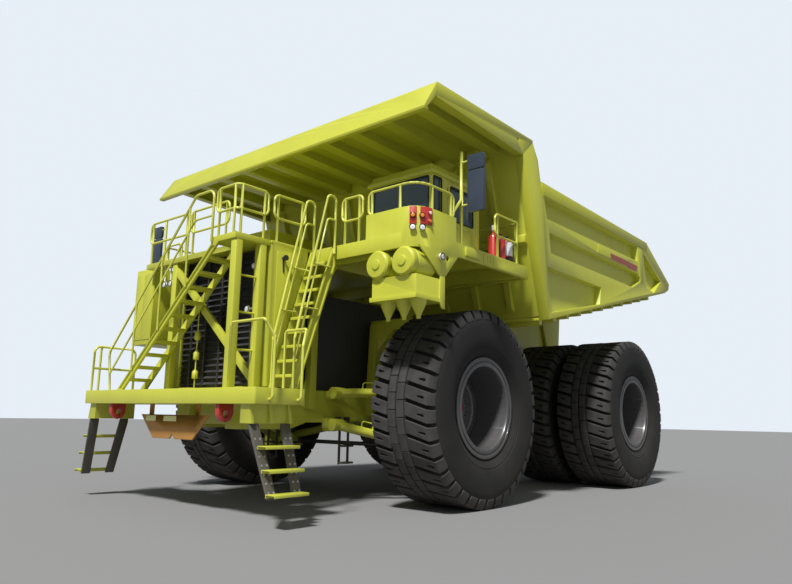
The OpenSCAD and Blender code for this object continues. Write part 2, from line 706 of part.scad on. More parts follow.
module ladder_steps() {
  lean = (ladder_foot[0] - ladder_top[0]) / (ladder_top[3] - ladder_foot[3]);
  color(lime) both_sides() for (i = [0:2]) {
    t = 0.32 + 0.32 * i;
    x = ladder_top[0] + (ladder_foot[0] - ladder_top[0]) * t + 12 + 40 * lean + run_gap;
    z = ladder_top[3] + (ladder_foot[3] - ladder_top[3]) * t;
    xz(ladder_top[1] + 60, ladder_top[2] - 60) polygon([[x, z - 40], [x + 12, z - 40], [x + 12, z],
      [x + 190, z], [x + 190, z - 30], [x + 200, z - 30], [x + 200, z + 15], [x, z + 15]]);
  }
}

// Belts and treads of the small ladders that hang inside the front wheels
module service_steps() {
  color(dark) both_sides() {
    for (y = [-1130, -900]) {
      block([rail_out + run_gap, rail_out + 108], [y - 30, y + 30], [1500, 1560]);
      block([rail_out + 96, rail_out + 108], [y - 30, y + 30], [675, 1501]);
    }
    for (z = [1000, 690]) block([rail_out + 107, rail_out + 230], [-1160, -870], [z, z + 35]);
  }
}

// DECKS

gusset_t = 28;
gusset_low = 3880;
rail_x_out = deck_x - 60;
face = deck_x - rail_x_out;
corner_r = 300;
corner_mid = [rail_x_out - corner_r, deck_front + 62 + corner_r];
kick_line = concat([[2700, deck_front + 62]], arc(corner_mid, corner_r, -90, 0),
  [[rail_x_out, -1250]]);

// Deck frame with a top sheet between two values on each axis
module deck_frame(x, y, beams) {
  block(x, y, [deck_top - plate_t, deck_top]);
  for (y0 = [y[0], y[1] - 80]) block(x, [y0, y0 + 80], [deck_under, deck_top]);
  for (x0 = [x[0], x[1] - 80]) block([x0, x0 + 80], y, [deck_under, deck_top]);
  for (yb = beams) block(x, [yb - 60, yb + 60], [deck_under, deck_top]);
}

module deck_left() {
  color(lime) {
    // Deck whose front corner is cut round
    difference() {
      deck_frame([hood_x, deck_x], [deck_front, deck_rear], [post_y[0], -300, post_y[1]]);
      xy(deck_under - 1, deck_top + 1) polygon(concat(
        [[deck_x + 1, corner_mid.y], [deck_x + 1, deck_front - 1], [corner_mid.x, deck_front - 1]],
        [for (i = [1:5]) shifted(kick_line, face)[i]]));
    }
    // Fascia that follows the front rail round the corner and along the side
    xy(deck_under, deck_top + rail_mid) polygon(concat(shifted(kick_line, face),
      backwards(shifted(kick_line, face - 34))));
    deck_gusset();
    // Band along the side with three slots, and the box ahead of it
    difference() {
      block([deck_x - 1, deck_x + 12], [-400, 1120], [deck_under + 15, deck_top - 20]);
      for (i = [0:2]) block([deck_x + 3, deck_x + 13], [-330 + i * 95, -275 + i * 95],
        [deck_under + 50, deck_top - 65]);
    }
    block([deck_x - 1, deck_x + 35], [-990, -550], [deck_under + 60, deck_top - 35]);
  }
}

// Gusset under the deck's edge that the air cleaners hang beside
module deck_gusset() {
  yz(deck_x - gusset_t, deck_x) difference() {
    polygon([[-2270, deck_under + 5], [-1700, gusset_low], [-1570, gusset_low],
      [-1180, deck_under + 5]]);
    translate([-1500, deck_under - 90]) circle(r = 45, $fn = 24);
  }
}

module deck_right() {
  color(lime) mirror([1, 0, 0]) {
    deck_frame([hood_x, deck_x], [deck_front, deck_rear], [post_y[0], -300, post_y[1]]);
    deck_gusset();
  }
}

cleaner_x = [3020, 3580];
cleaner_r = 240;
cleaner_z = 4055;

module air_cleaners() {
  color(lime) both_sides() {
    for (x = cleaner_x) {
      // Drum with a clamped cap, revolved
      translate([x, -1750, cleaner_z]) rotate([90, 0, 0]) rotate_extrude()
        polygon([[0, 0], [cleaner_r - 30, 0], [cleaner_r, 25], [cleaner_r, 470],
          [cleaner_r - 14, 474], [cleaner_r - 14, 496], [cleaner_r, 500], [cleaner_r, 590],
          [cleaner_r - 30, 625], [90, 625], [80, 645], [0, 645]]);
      block([x - 60, x + 60], [deck_front + 10, deck_front + 75], [cleaner_z, deck_under]);
      block([x - 60, x + 60], [post_y[0] - 40, post_y[0] + 40], [cleaner_z, deck_under]);
    }
    // Box with a flange below, and three cones with their outlets
    block([2880, deck_x - gusset_t + 1], [-2300, -1620], [3510, 3830]);
    block([2850, deck_x - 10], [-2330, -1590], [3440, 3515]);
    yz(deck_x - gusset_t, deck_x) polygon([[-1700, gusset_low - run_gap],
      [-1570, gusset_low - run_gap], [-1570, 3340], [-1640, 3340], [-1700, 3440]]);
    for (x = [3060, 3400, 3700]) translate([x, -2080, 3180]) rotate_extrude($fn = 32)
      polygon([[0, -45], [38, -45], [38, 0], [120, 180], [140, 265], [0, 265]]);
  }
}

// Electrical cabinets: one hung ahead of the right deck and one that stands on it
module deck_cabinets() {
  color(lime) {
    xy(2950, deck_top - 20) polygon([[-2300, -3300], [-3000, -3300], [-3000, -2410],
      [-2740, -2410], [-2740, deck_front], [-2300, deck_front]]);
    for (x = [-2980, -2640]) xz(-3312, -3299)
      polygon(rounded([x, 3050], [x + 320, deck_top - 120], 25));
    // Standing cabinet with a cap, doors and their vents
    block([-3500, -1700], [-850, 880], [deck_top, 5770]);
    block([-3530, -1670], [-880, 910], [5765, 5800]);
    for (i = [0:2]) {
      x = -3470 + i * 590;
      difference() {
        xz(-864, -849) polygon(rounded([x, deck_top + 80], [x + 560, 5720], 30));
        for (z = [5350:60:5600]) block([x + 120, x + 440], [-865, -856], [z, z + 25]);
      }
    }
    for (i = [0:1]) yz(-3514, -3499)
      polygon(rounded([-820 + i * 850, deck_top + 80], [i * 850, 5720], 30));
  }
}

module resistor_grid() {
  color(steel) {
    // Box of the braking resistors, with its louvres and end plates
    block([-3440, -2060], [-2090, -1110], [deck_top, 5060]);
    for (x = [-3500, -2760, -2060]) block([x, x + 60], [-2150, -1050], [deck_top, 5080]);
    block([-3500, -2000], [-2150, -1050], [5050, 5080]);
    for (z = [deck_top + 40:70:5020]) for (k = [0, 1]) translate([0, -1600, 0]) mirror([0, k, 0])
      yz(-3450, -2050) polygon([[-548, z], [-540, z], [-485, z + 48], [-493, z + 48]]);
  }
}

module extinguishers() {
  color(red) for (y = [260, 510, 760]) translate([rail_x_out - tube_r - 125, y, deck_top])
    rotate_extrude($fn = 32) polygon([[0, 0], [112, 0], [112, 20], [100, 24], [100, 430], [85, 470],
      [40, 495], [40, 520], [22, 524], [22, 575], [0, 575]]);
}

// Places a part on the face of the deck's round corner, at an angle and a height
module on_corner(angle, z) translate([corner_mid.x, corner_mid.y, deck_top + z]) rotate([0, 0, angle])
  translate([corner_r * cos(11.25) + face, 0, 0]) rotate([0, 90, 0]) children();

module lamp_cluster() {
  k = kick_line;
  color(red) {
    // Two plates bent round the corner, with housings of round lamps on them
    for (line = [[k[2], k[3]], [k[3] * 0.7 + k[4] * 0.3, k[4], k[5]]])
      xy(deck_top + 130, deck_top + rail_mid - 8) polygon(concat(
        shifted(line, face + 18), backwards(shifted(line, face + run_gap))));
    for (a = [-56.25, -33.75]) on_corner(a, 265) translate([0, 0, 16]) rotate_extrude($fn = 32)
      polygon([[0, 0], [48, 0], [48, 26], [38, 26], [32, 36], [0, 38]]);
    for (z = [190, 330]) on_corner(-11.25, z) translate([0, 0, 16])
      cylinder(r = 32, h = 26, $fn = 32);
  }
}

module headlamps() {
  color("white") {
    // Two on the deck's corner
    for (a = [-56.25, -33.75]) on_corner(a, 64) translate([0, 0, run_gap]) lamp_body(52);
    // Two under the deck's gussets
    both_sides() translate([deck_x + run_gap, -1714, 4200]) rotate([0, 90, 0]) lamp_body(60);
    // One on the walkway, two on the guard's post and two under the walkway
    rod([505, -3390, deck_top], [505, -3390, deck_top + 200], 14);
    translate([505, -3344, deck_top + 215]) rotate([90, 0, 0]) lamp_body(62);
    for (p = [[985, 3360], [1110, 4100]]) {
      rod([guard_x - guard_w / 2 - run_gap, guard_y[1], p.y], [p.x, guard_y[1], p.y], 14);
      translate([p.x, guard_y[1] + 46, p.y]) rotate([90, 0, 0]) lamp_body(58);
    }
    for (x = [-1535, -1750]) {
      rod([x, -3390, 4110], [x, -3390, landing_z], 14);
      translate([x, -3344, 4095]) rotate([90, 0, 0]) lamp_body(58);
    }
  }
}

// Round lamp: a bowl with a rim and a domed lens
module lamp_body(r) {
  rotate_extrude($fn = 32) polygon([[0, 0], [r * 0.6, 0], [r, 30], [r, 62], [r - 8, 62],
    [r - 9, 56], [r * 0.5, 64], [0, 67]]);
}

module tanks() {
  color(lime) {
    xz(2350, 3350) polygon(concat(arc([2270, 1280], 180, -90, 0), arc([2330, 2230], 120, 0, 90),
      [[rail_out, 2350], [rail_out, 1100]]));
    xz(2350, 3350) polygon(concat([[-rail_out, 1200], [-rail_out, 2300]],
      arc([-1930, 2180], 120, 90, 180), arc([-1870, 1380], 180, 180, 270)));
    // Straps round the tanks and the filler of the left one
    for (y = [2560, 3080]) xz(y, y + 60) {
      polygon(concat(arc([2270, 1280], 192, -90, 0), arc([2330, 2230], 132, 0, 90),
        [[rail_out + 50, 2362], [rail_out + 50, 1088]]));
      polygon(concat([[-rail_out - 50, 1188], [-rail_out - 50, 2312]],
        arc([-1930, 2180], 132, 90, 180), arc([-1870, 1380], 192, 180, 270)));
    }
    translate([2200, 2850, 2340]) cylinder(r = 90, h = 70);
  }
}

// CAB

roof_lip = 30;
roof_top = 6030;
pane = 14;
screen_x = [cab_right + 70, cab_left - 70];
quarter_y = [cab_front + 60, -1210];
door_y = [-1030, -130];
door_z = [deck_top + 50, cab_wall_top - 30];
window_top = cab_wall_top - 40;
hinge_x = cab_left + 16;
door_hinge_y = door_y[0] + door_gap / 2;
door_hinge_z = [4760, 5480];

module cab_shell() {
  color(lime) for (z = door_hinge_z)
    hinge_half([door_hinge_y - 60, door_hinge_y], z, true);
  color(lime) difference() {
    xy(deck_top, cab_wall_top)
      polygon(rounded([cab_right, cab_front], [cab_left, cab_rear], 85));
    block([cab_right + cab_wall, cab_left - cab_wall],
      [cab_front + cab_wall, cab_rear - cab_wall], [deck_top + 50, cab_wall_top + 1]);
    xz(cab_front - 1, cab_front + cab_wall + 1)
      polygon(rounded([screen_x[0], cab_sill], [screen_x[1], window_top], 40));
    yz(cab_left - cab_wall - 1, cab_left + 1)
      polygon(rounded([quarter_y[0], cab_sill], [quarter_y[1], window_top], 30));
    block([cab_left - cab_wall - 1, cab_left + 1], door_y, door_z);
    yz(cab_right - 1, cab_right + cab_wall + 1)
      polygon(rounded([-1300, cab_sill], [-200, window_top], 40));
    xz(cab_rear - cab_wall - 1, cab_rear + 1)
      polygon(rounded([cab_right + 250, cab_sill + 100], [cab_left - 250, window_top], 40));
  }
}

// Half of a door hinge: a leaf on the wall and a barrel with a bore, or with its pin
module hinge_half(leaf_y, z, pin) {
  difference() {
    union() {
      translate([hinge_x, door_hinge_y, z]) cylinder(r = 14, h = 80, $fn = 32);
      block([cab_left, cab_left + 12], leaf_y, [z, z + 80]);
    }
    if (!pin) translate([hinge_x, door_hinge_y, z - 1])
      cylinder(r = 7 + run_gap, h = 82, $fn = 32);
  }
  if (pin) translate([hinge_x, door_hinge_y, z + 79]) cylinder(r = 7, h = 75, $fn = 32);
}

module cab_roof() {
  color(lime) {
    // Pressed roof with sloped edges on all four sides
    intersection() {
      yz(cab_right - roof_lip, cab_left + roof_lip)
        polygon(roof_side(cab_front - roof_lip, cab_rear + roof_lip));
      xz(cab_front - roof_lip, cab_rear + roof_lip)
        polygon(roof_side(cab_right - roof_lip, cab_left + roof_lip));
    }
    // Raised panel of the cooler
    block([2350, 3150], [-1050, -350], [6020, roof_top + 45]);
  }
}

// Side outline of the roof from a to b
function roof_side(a, b) = [[a, cab_wall_top], [b, cab_wall_top], [b, cab_wall_top + 70],
  [b - 35, cab_wall_top + 80], [b - 80, roof_top - 15], [b - 150, roof_top], [a + 150, roof_top],
  [a + 80, roof_top - 15], [a + 35, cab_wall_top + 80], [a, cab_wall_top + 70]];

module cab_glass() {
  edge = run_gap;
  color("#33506080") {
    xz(cab_front + 20, cab_front + 20 + pane) polygon(rounded(
      [screen_x[0] + edge, cab_sill + edge], [screen_x[1] - edge, window_top - edge], 40));
    yz(cab_left - 40, cab_left - 40 + pane) polygon(rounded(
      [quarter_y[0] + edge, cab_sill + edge], [quarter_y[1] - edge, window_top - edge], 30));
    yz(cab_right + 20, cab_right + 20 + pane) polygon(rounded(
      [-1300 + edge, cab_sill + edge], [-200 - edge, window_top - edge], 40));
    xz(cab_rear - 40, cab_rear - 40 + pane) polygon(rounded(
      [cab_right + 250 + edge, cab_sill + 100 + edge],
      [cab_left - 250 - edge, window_top - edge], 40));
  }
}

module cab_seat() {
  floor_z = deck_top + 50;
  color(dark) {
    translate([2950, -480, floor_z]) cylinder(r = 130, h = 260);
    // Cushion and back as one profile
    yz(2690, 3210) polygon([[-780, floor_z + 250], [-260, floor_z + 250], [-120, floor_z + 1080],
      [-200, floor_z + 1090], [-310, floor_z + 390], [-740, floor_z + 400],
      [-790, floor_z + 340]]);
    // Console before the seat
    yz(2600, 3300) polygon([[-1435, floor_z], [-1300, floor_z], [-1220, floor_z + 420],
      [-1435, floor_z + 450]]);
  }
}

module cab_door() {
  color(lime) for (z = door_hinge_z)
    hinge_half([door_hinge_y, door_hinge_y + 60], z + 80 + run_gap, false);
  color(lime) difference() {
    block([cab_left - cab_wall, cab_left], [door_y[0] + door_gap, door_y[1] - door_gap],
      [door_z[0] + door_gap, door_z[1] - door_gap]);
    yz(cab_left - cab_wall - 1, cab_left + 1)
      polygon(rounded([door_y[0] + 90, cab_sill + 30], [door_y[1] - 90, door_z[1] - 80], 40));
    // Pressed panel under the window
    yz(cab_left - 10, cab_left + 1)
      polygon(rounded([door_y[0] + 110, door_z[0] + 90], [door_y[1] - 110, cab_sill - 70], 40));
  }
  // Handle
  color(dark) yz(cab_left - 1, cab_left + 10)
    polygon(rounded([door_y[1] - 250, cab_sill - 45], [door_y[1] - 100, cab_sill - 5], 12));
}

module door_glass() {
  color("#33506080") yz(cab_left - 40, cab_left - 40 + pane) polygon(rounded(
    [door_y[0] + 90 + run_gap, cab_sill + 30 + run_gap],
    [door_y[1] - 90 - run_gap, door_z[1] - 80 - run_gap], 40));
}

// HANDRAILS AND MIRRORS

tube_r = 22;
rail_high = 850;
rail_mid = 430;
rail_bend = 110;
post_inset = 80;
mirror_y = [-1053, -2250];
mirror_pole_top = [6250, 6050];
rear_guard_y = deck_rear - 240;

// Closed loop of guard rail along points (x, y) over a floor at z, with posts along it
module guard_rail(points, z) {
  last = len(points) - 1;
  high = [for (p = points) [p.x, p.y, z + rail_high]];
  low = [for (p = points) [p.x, p.y, z + rail_mid]];
  start = (high[0] + high[1]) / 2;
  bent_tube(concat([start], [for (i = [1:last]) high[i]], backwards(low), [high[0], start]),
    tube_r, rail_bend);
  for (i = [0:last - 1]) {
    gap = points[i + 1] - points[i];
    n = max(1, round(norm(gap) / 1100));
    if (norm(gap) > 300) for (k = [0:n]) {
      p = points[i] + unit(gap) * (post_inset + (norm(gap) - 2 * post_inset) * k / n);
      rod([p.x, p.y, z], [p.x, p.y, z + rail_high], tube_r);
    }
  }
}

module handrails() {
  strut_end = [rail_x_out - 40, -1640, deck_top];
  color(lime) {
    guard_rail([[2060, deck_front + 62], [2560, deck_front + 62]], deck_top);
    guard_rail(kick_line, deck_top);
    guard_rail([[rail_x_out, 90], [rail_x_out, rear_guard_y], [1600, rear_guard_y]], deck_top);
    guard_rail([[1340, -3200], [1340, -2480]], deck_top);
    guard_rail([[740, -3960], [1320, -3960], [1320, -3320]], deck_top);
    guard_rail([[-2262, -3470], [-870, -3470]], deck_top);
    guard_rail([[-800, -3470], [400, -3470]], deck_top);
    guard_rail([[-1600, rear_guard_y], [-rail_x_out, rear_guard_y], [-rail_x_out, -950]], deck_top);
    guard_rail([[-rail_x_out, -1000], [-rail_x_out, deck_front + 62], [-3100, deck_front + 62]],
      deck_top);
    // Mirror poles, their arms, and the strut of the left one
    for (k = [0, 1]) {
      s = k == 0 ? 1 : -1;
      x = s * (deck_x - 30);
      rod([x, mirror_y[k], deck_top], [x, mirror_y[k], mirror_pole_top[k]], 30);
      for (z = [mirror_pole_top[k] - 1000, mirror_pole_top[k] - 200])
        rod([x, mirror_y[k], z], [s * (3965 - run_gap), mirror_y[k], z], 18);
    }
    rod([deck_x - 30, mirror_y[0], 5370], strut_end + [-30, 0, 26 * 587 / 1008 + run_gap], 26);
  }
}

// Handrails of the two stairs
module stair_rails() {
  color(lime) {
    // Outer side of the front stair, from the bumper to the landing
    y = stair_y[0] - tube_r - run_gap;
    top_x = stair_high.x + 30;
    bent_tube([[-2340, y, bumper_top + 4.3], [-2480, y, 2720], [180, y, 5390], [top_x, y, 5390],
      [top_x, y, landing_z + 20]], tube_r, 150);
    bent_tube([[-2402, y, 2300], [190, y, 4930], [top_x, y, 4930]], 18, 150);
    for (x = [-1600, -800, 0]) rod([x, y, stair_low.y + (x - stair_low.x) * 0.879 - 90],
      [x, y, 2720 + (x + 2480) * 1.004], 18);
    // Both sides of the side stair: the inner one stands between its stringers
    for (x = [side_x[0] + 40 + tube_r + run_gap, side_x[1] + tube_r + run_gap]) {
      a = [x, side_low.x - 37, 2830];
      b = [x, side_high.x - 250, 5430];
      bent_tube([[a.x, a.y, bumper_top + 30], a, b, [x, side_high.x - 60, b.z],
        [x, side_high.x - 60, side_high.y - 100]], tube_r, 90);
      bent_tube([a - [0, 0, 420], b - [0, 0, 430], [x, side_high.x - 60, b.z - 430]], 18, 90);
      for (t = [0.2, 0.5]) {
        p = a * (1 - t) + b * t;
        rod(p, [x, side_low.x - 20 + (p.z - side_low.y) * 0.329, p.z], 18);
      }
    }
  }
}

// Handrails on the bumper, with hooks beside the lower ladders
module bumper_rails() {
  hook_x = bumper_x + 75;
  color(lime) {
    for (p = [[-4250, -4110, 2970, 1750], [-3425, -3560, 2900, 2060]])
      bent_tube([[p[3], p[0], bumper_top], [p[3], p[0], p[2]], [bumper_x - 10, p[0], p[2]],
        [hook_x, p[1], p[2] - 270], [hook_x, p[1], 1800], [bumper_x + run_gap, p[1], 1800]],
        tube_r, 60, 40);
    // Loop on the other end, with its hook
    bent_tube([[-bumper_x + 40, bumper_front + 90, bumper_top],
      [-bumper_x + 40, bumper_front + 90, bumper_top + rail_high],
      [-bumper_x + 40, bumper_rear - 60, bumper_top + rail_high],
      [-bumper_x + 40, bumper_rear - 60, bumper_top]], tube_r, rail_bend);
    rod([-bumper_x + 40, bumper_front + 90, bumper_top + rail_mid],
      [-bumper_x + 40, bumper_rear - 60, bumper_top + rail_mid], tube_r);
    bent_tube([[-bumper_x + 40, -4110, bumper_top + rail_high], [-hook_x, -4110, bumper_top + rail_high],
      [-hook_x, -4110, 1800], [-bumper_x - run_gap, -4110, 1800]], tube_r, 60);
  }
}

module mirrors() {
  color(dark) for (k = [0, 1]) {
    z = mirror_pole_top[k];
    mirror([k, 0, 0]) {
      xz(mirror_y[k] - 30, mirror_y[k] + 30) polygon(rounded([3965, z - 1150], [4300, z - 400], 35));
      xz(mirror_y[k] - 30, mirror_y[k] + 30) polygon(rounded([3965, z - 380], [4300, z - 110], 35));
      block([3975, 4005], [mirror_y[k] - 10, mirror_y[k] + 10], [z - 420, z - 360]);
    }
  }
}

// DUMP BODY

// Lower edge of the sides: front corner and slope of the floor
floor_front = [1713, 3552];
floor_slope = 0.2275;
front_lean = (1713 - 850) / (6650 - 3552);
function floor_z(y) = floor_front.y + (y - floor_front.x) * floor_slope;
function front_y(z) = floor_front.x - (z - floor_front.y) * front_lean;
floor_t = 80;
tail_top = [hinge_y - 310, 6310];
tail_tip = [tail_y, 5430];
tail_low_y = tail_y - 415;
rail_front = [1502, 6394];
canopy_rear = 1207;
skirt_z = canopy_top - 405;
side_in = body_x - rib_depth - side_t;

side_outline = [[front_y(skirt_z), skirt_z], [canopy_rear, canopy_top - 60], [1406, canopy_top - 358],
  rail_front, tail_top, tail_tip, [tail_y - 75, 5250], [tail_low_y, floor_z(tail_low_y)],
  [floor_front.x, floor_front.y]];
recesses = [
  [[1640, 6083], [hinge_y - 1005, 6059], [hinge_y - 1001, 5668], [1740, 5649]],
  [[1824, 5372], [hinge_y - 1081, 5322], [hinge_y - 750, 5210], [hinge_y - 1420, 4912],
    [1873, 4945]],
  [[1700, 4631], [4300, 4608], [4200, 4200], [1800, floor_z(1800) + 120]],
  [[hinge_y - 590, 5975], [hinge_y + 650, 5400], [hinge_y + 70, 4990], [hinge_y - 450, 5060]]];

module body_sides() {
  color(lime) both_sides() {
    yz(body_x - rib_depth, body_x) difference() {
      polygon(side_outline);
      for (r = recesses) polygon(r);
    }
    yz(side_in, body_x - rib_depth + 1) polygon(side_outline);
    // Top rail that stands proud, the pad behind its middle and the post at the tail
    yz(body_x - 1, body_x + 22) polygon([[rail_front.x + 20, rail_front.y - 20],
      [tail_top.x - 10, tail_top.y - 20], [tail_top.x - 60, tail_top.y - 220],
      [rail_front.x + 90, rail_front.y - 285]]);
    yz(body_x - 1, body_x + 14) polygon(rounded([4200, 5400], [6000, 5620], 40));
    yz(body_x - rib_depth, body_x + 10) polygon([[hinge_y - 1000, 6070], [hinge_y - 640, 6070],
      [hinge_y - 700, 5150], [hinge_y - 880, 5150]]);
  }
}

bolster_end = hinge_y - 350;
ear_w = 90;
// Side outline of a hinge ear from the pin, where a height under zero means the floor
ear_side = [[-750, -1], [-650, 4300], [-170, 2860], [-50, 2780], [110, 2790], [200, 2950],
  [450, -1]];
ear_gap = 6;
cross_ribs = 11;
rib_pitch = 610;
ear_in = rail_in - ear_gap - ear_w;
ear_out = rail_out + ear_gap + ear_w;
hoist_ear = [110, 160];

// Stretches of the cross rib at y, as distances from the centre line: a rib stops short of the
// bolsters, the hinge ears and the hoist ears
function rib_spans(y) = y < 3200 ? [[0, side_in - 50]] :
  [[0, ear_in], [abs(y - hoist_top_y) < 400 ? hoist_x + 260 : ear_out, side_in - 50]];

module body_floor() {
  color(lime) {
    // Floor sheet between the sides
    yz(-side_in, side_in) polygon([floor_front, [tail_low_y, floor_z(tail_low_y)],
      [tail_y - 125, 5230], [tail_y - 165, 5230 + floor_t],
      [tail_low_y - 40, floor_z(tail_low_y) + floor_t],
      [floor_front.x, floor_front.y + floor_t]]);
    for (i = [0:cross_ribs - 1]) {
      y = floor_front.x + 150 + i * rib_pitch;
      for (r = rib_spans(y), m = [0, 1]) mirror([m, 0, 0])
        block([r[0] - (r[0] == 0 ? 1 : 0), r[1]], [y - 60, y + 60],
          [floor_z(y) - 110, floor_z(y) + 40]);
    }
  }
}

// Bolsters that rest on the frame rails, with the ears of the hinge and of the hoist
module body_bolsters() {
  color(lime) for (s = [-1, 1]) {
    yz(s > 0 ? rail_in : -rail_out, s > 0 ? rail_out : -rail_in)
      polygon([[3300, rail_rest(3300)], [bolster_end, rail_rest(bolster_end)],
        [bolster_end, floor_z(bolster_end)], [3300, floor_z(3300)]]);
    // Ears on both sides of each rail's end, with the hinge pin through them
    for (x = [rail_in - ear_gap - ear_w, rail_out + ear_gap])
      yz(s > 0 ? x : -x - ear_w, s > 0 ? x + ear_w : -x)
        polygon([for (p = ear_side) [hinge_y + p.x, p.y < 0 ? floor_z(hinge_y + p.x) : p.y]]);
    // Web that joins the ears behind the rail's end
    yz(s > 0 ? rail_in - ear_gap - 10 : -rail_out - ear_gap - 10,
      s > 0 ? rail_out + ear_gap + 10 : -rail_in + ear_gap + 10)
      polygon([[bolster_end - 300, 4300], [bolster_end + 300, 3900], [hinge_y + 300, 3900],
        [hinge_y + 350, floor_z(hinge_y + 350)],
        [bolster_end - 300, floor_z(bolster_end - 300)]]);
    rod([s * (rail_in - ear_gap - ear_w), hinge_y, hinge_z],
      [s * (rail_out + ear_gap + ear_w), hinge_y, hinge_z], hinge_pin_r);
    // Ears of the hoist cylinders, each with the boss of its pin
    for (k = [-1, 1]) {
      x = s * hoist_x + k * (hoist_ear[0] + hoist_ear[1]) / 2;
      w = (hoist_ear[1] - hoist_ear[0]) / 2;
      yz(x - w, x + w) polygon([[hoist_top_y - 300, floor_z(hoist_top_y - 300)],
        [hoist_top_y - 130, hoist_top_z - 90], [hoist_top_y - 60, hoist_top_z - 130],
        [hoist_top_y + 60, hoist_top_z - 130], [hoist_top_y + 130, hoist_top_z - 90],
        [hoist_top_y + 300, floor_z(hoist_top_y + 300)]]);
      rod([x, hoist_top_y, hoist_top_z], [x + k * (w + 30), hoist_top_y, hoist_top_z], 90);
    }
  }
}

// Height at which the body rests on the rails
function rail_rest(y) = let (a = rail_upper[1], b = rail_upper[0])
  a.y + (b.y - a.y) * (y - a.x) / (b.x - a.x) + 20;

wall_t = 60;

module headboard() {
  low = floor_front.y + floor_t;
  back = front_y(low) + wall_t;
  top = canopy_top - 301;
  color(lime) {
    yz(-side_in, side_in) polygon([[front_y(low), low], [back, floor_z(back) + floor_t + run_gap],
      [front_y(top) + wall_t, top], [front_y(top), top]]);
    for (x = [-3200:800:3200]) yz(x - 60, x + 60)
      polygon([[front_y(low + 100), low + 100], [front_y(low + 100) - 110, low + 200],
        [front_y(top - 100) - 110, top - 150], [front_y(top), top]]);
    // Rail across the ribs
    yz(-side_in, side_in) polygon([[front_y(5150) - 80, 5080], [front_y(5150) - 80, 5220],
      [front_y(5220) + 5, 5260], [front_y(5080) + 5, 5040]]);
  }
}

canopy_ribs = 9;

module canopy() {
  top_front = [-2034, canopy_top - 30];
  lip = [canopy_front, canopy_top - 581];
  color(lime) {
    // Top sheet, sloping slightly to the front
    yz(-body_x, body_x) polygon([top_front, [canopy_rear, canopy_top], [canopy_rear, canopy_top - 60],
      [top_front.x, top_front.y - 50]]);
    // Fascia that hangs down and forward, with a turned lip at its foot
    yz(-body_x, body_x) polygon([top_front, lip, [lip.x + 10, lip.y - 40], [lip.x + 110, lip.y - 40],
      [lip.x + 110, lip.y - 15], [lip.x + 55, lip.y - 5], [top_front.x + 60, top_front.y - 45]]);
    both_sides() {
      // Side sheet of the canopy, with its lower flange and the hole near its rear
      yz(body_x - 60, body_x) difference() {
        polygon([top_front, lip, [lip.x + 60, lip.y - 10], [-2050, canopy_top - 281],
          [front_y(skirt_z) - 5, skirt_z], [canopy_rear, canopy_top - 60],
          [canopy_rear, canopy_top]]);
        translate([620, canopy_top - 160]) circle(r = 32, $fn = 24);
      }
      yz(body_x - 180, body_x) polygon([[-2040, canopy_top - 278], [-2040, canopy_top - 306],
        [front_y(skirt_z) - 30, skirt_z - 30], [front_y(skirt_z) - 30, skirt_z + 4]]);
    }
    for (i = [0:canopy_ribs - 1]) {
      x = (i - (canopy_ribs - 1) / 2) * 840;
      yz(x - 130, x + 130) polygon([[-2060, canopy_top - 70], [front_y(6900) - 20, canopy_top - 50],
        [front_y(6900) - 20, canopy_top - 281], [-2060, canopy_top - 221]]);
    }
    block([-side_in, side_in], [front_y(canopy_top - 301), canopy_rear - 50],
      [canopy_top - 301, canopy_top - 50]);
  }
}

// HOIST CYLINDERS

tube_len = 1750;
stage_len = 1700;
hoist_rise = hoist_top_z - hoist_base_z;
hoist_lean = atan((hoist_y - hoist_top_y) / hoist_rise);
rod_len = norm([hoist_y - hoist_top_y, hoist_rise]);

// Places a cylinder drawn upright from its lower pin
module on_hoist(s) translate([s * hoist_x, hoist_y, hoist_base_z]) rotate([hoist_lean, 0, 0])
  children();

module hoist_tube(s) {
  color(steel) on_hoist(s) difference() {
    union() {
      rotate([0, 90, 0]) translate([0, 0, -hoist_eye_w / 2])
        cylinder(r = 180, h = hoist_eye_w);
      block([-hoist_eye_w / 2, hoist_eye_w / 2], [-150, 150], [0, 190]);
      // Barrel with its foot and its gland, revolved
      rotate_extrude() polygon([[0, 175], [205, 175], [205, 235], [190, 250],
        [190, tube_len - 90], [208, tube_len - 80], [208, tube_len], [0, tube_len]]);
    }
    rotate([0, 90, 0]) translate([0, 0, -hoist_eye_w / 2 - 1])
      cylinder(r = hoist_pin_r + run_gap, h = hoist_eye_w + 2);
    translate([0, 0, 220]) cylinder(r = 150 + run_gap, h = tube_len);
  }
}

module hoist_stage(s) {
  color("silver") on_hoist(s) difference() {
    translate([0, 0, 240]) cylinder(r = 150, h = stage_len - 100);
    translate([0, 0, 280]) cylinder(r = 105 + run_gap, h = stage_len);
  }
}

module hoist_rod(s) {
  color("silver") on_hoist(s) difference() {
    union() {
      translate([0, 0, 300]) cylinder(r = 105, h = rod_len - 300 - 60);
      translate([0, 0, rod_len]) rotate([0, 90, 0]) translate([0, 0, -100])
        cylinder(r = 110, h = 200);
    }
    translate([0, 0, rod_len]) rotate([0, 90, 0]) translate([0, 0, -101])
      cylinder(r = 60, h = 202);
  }
}

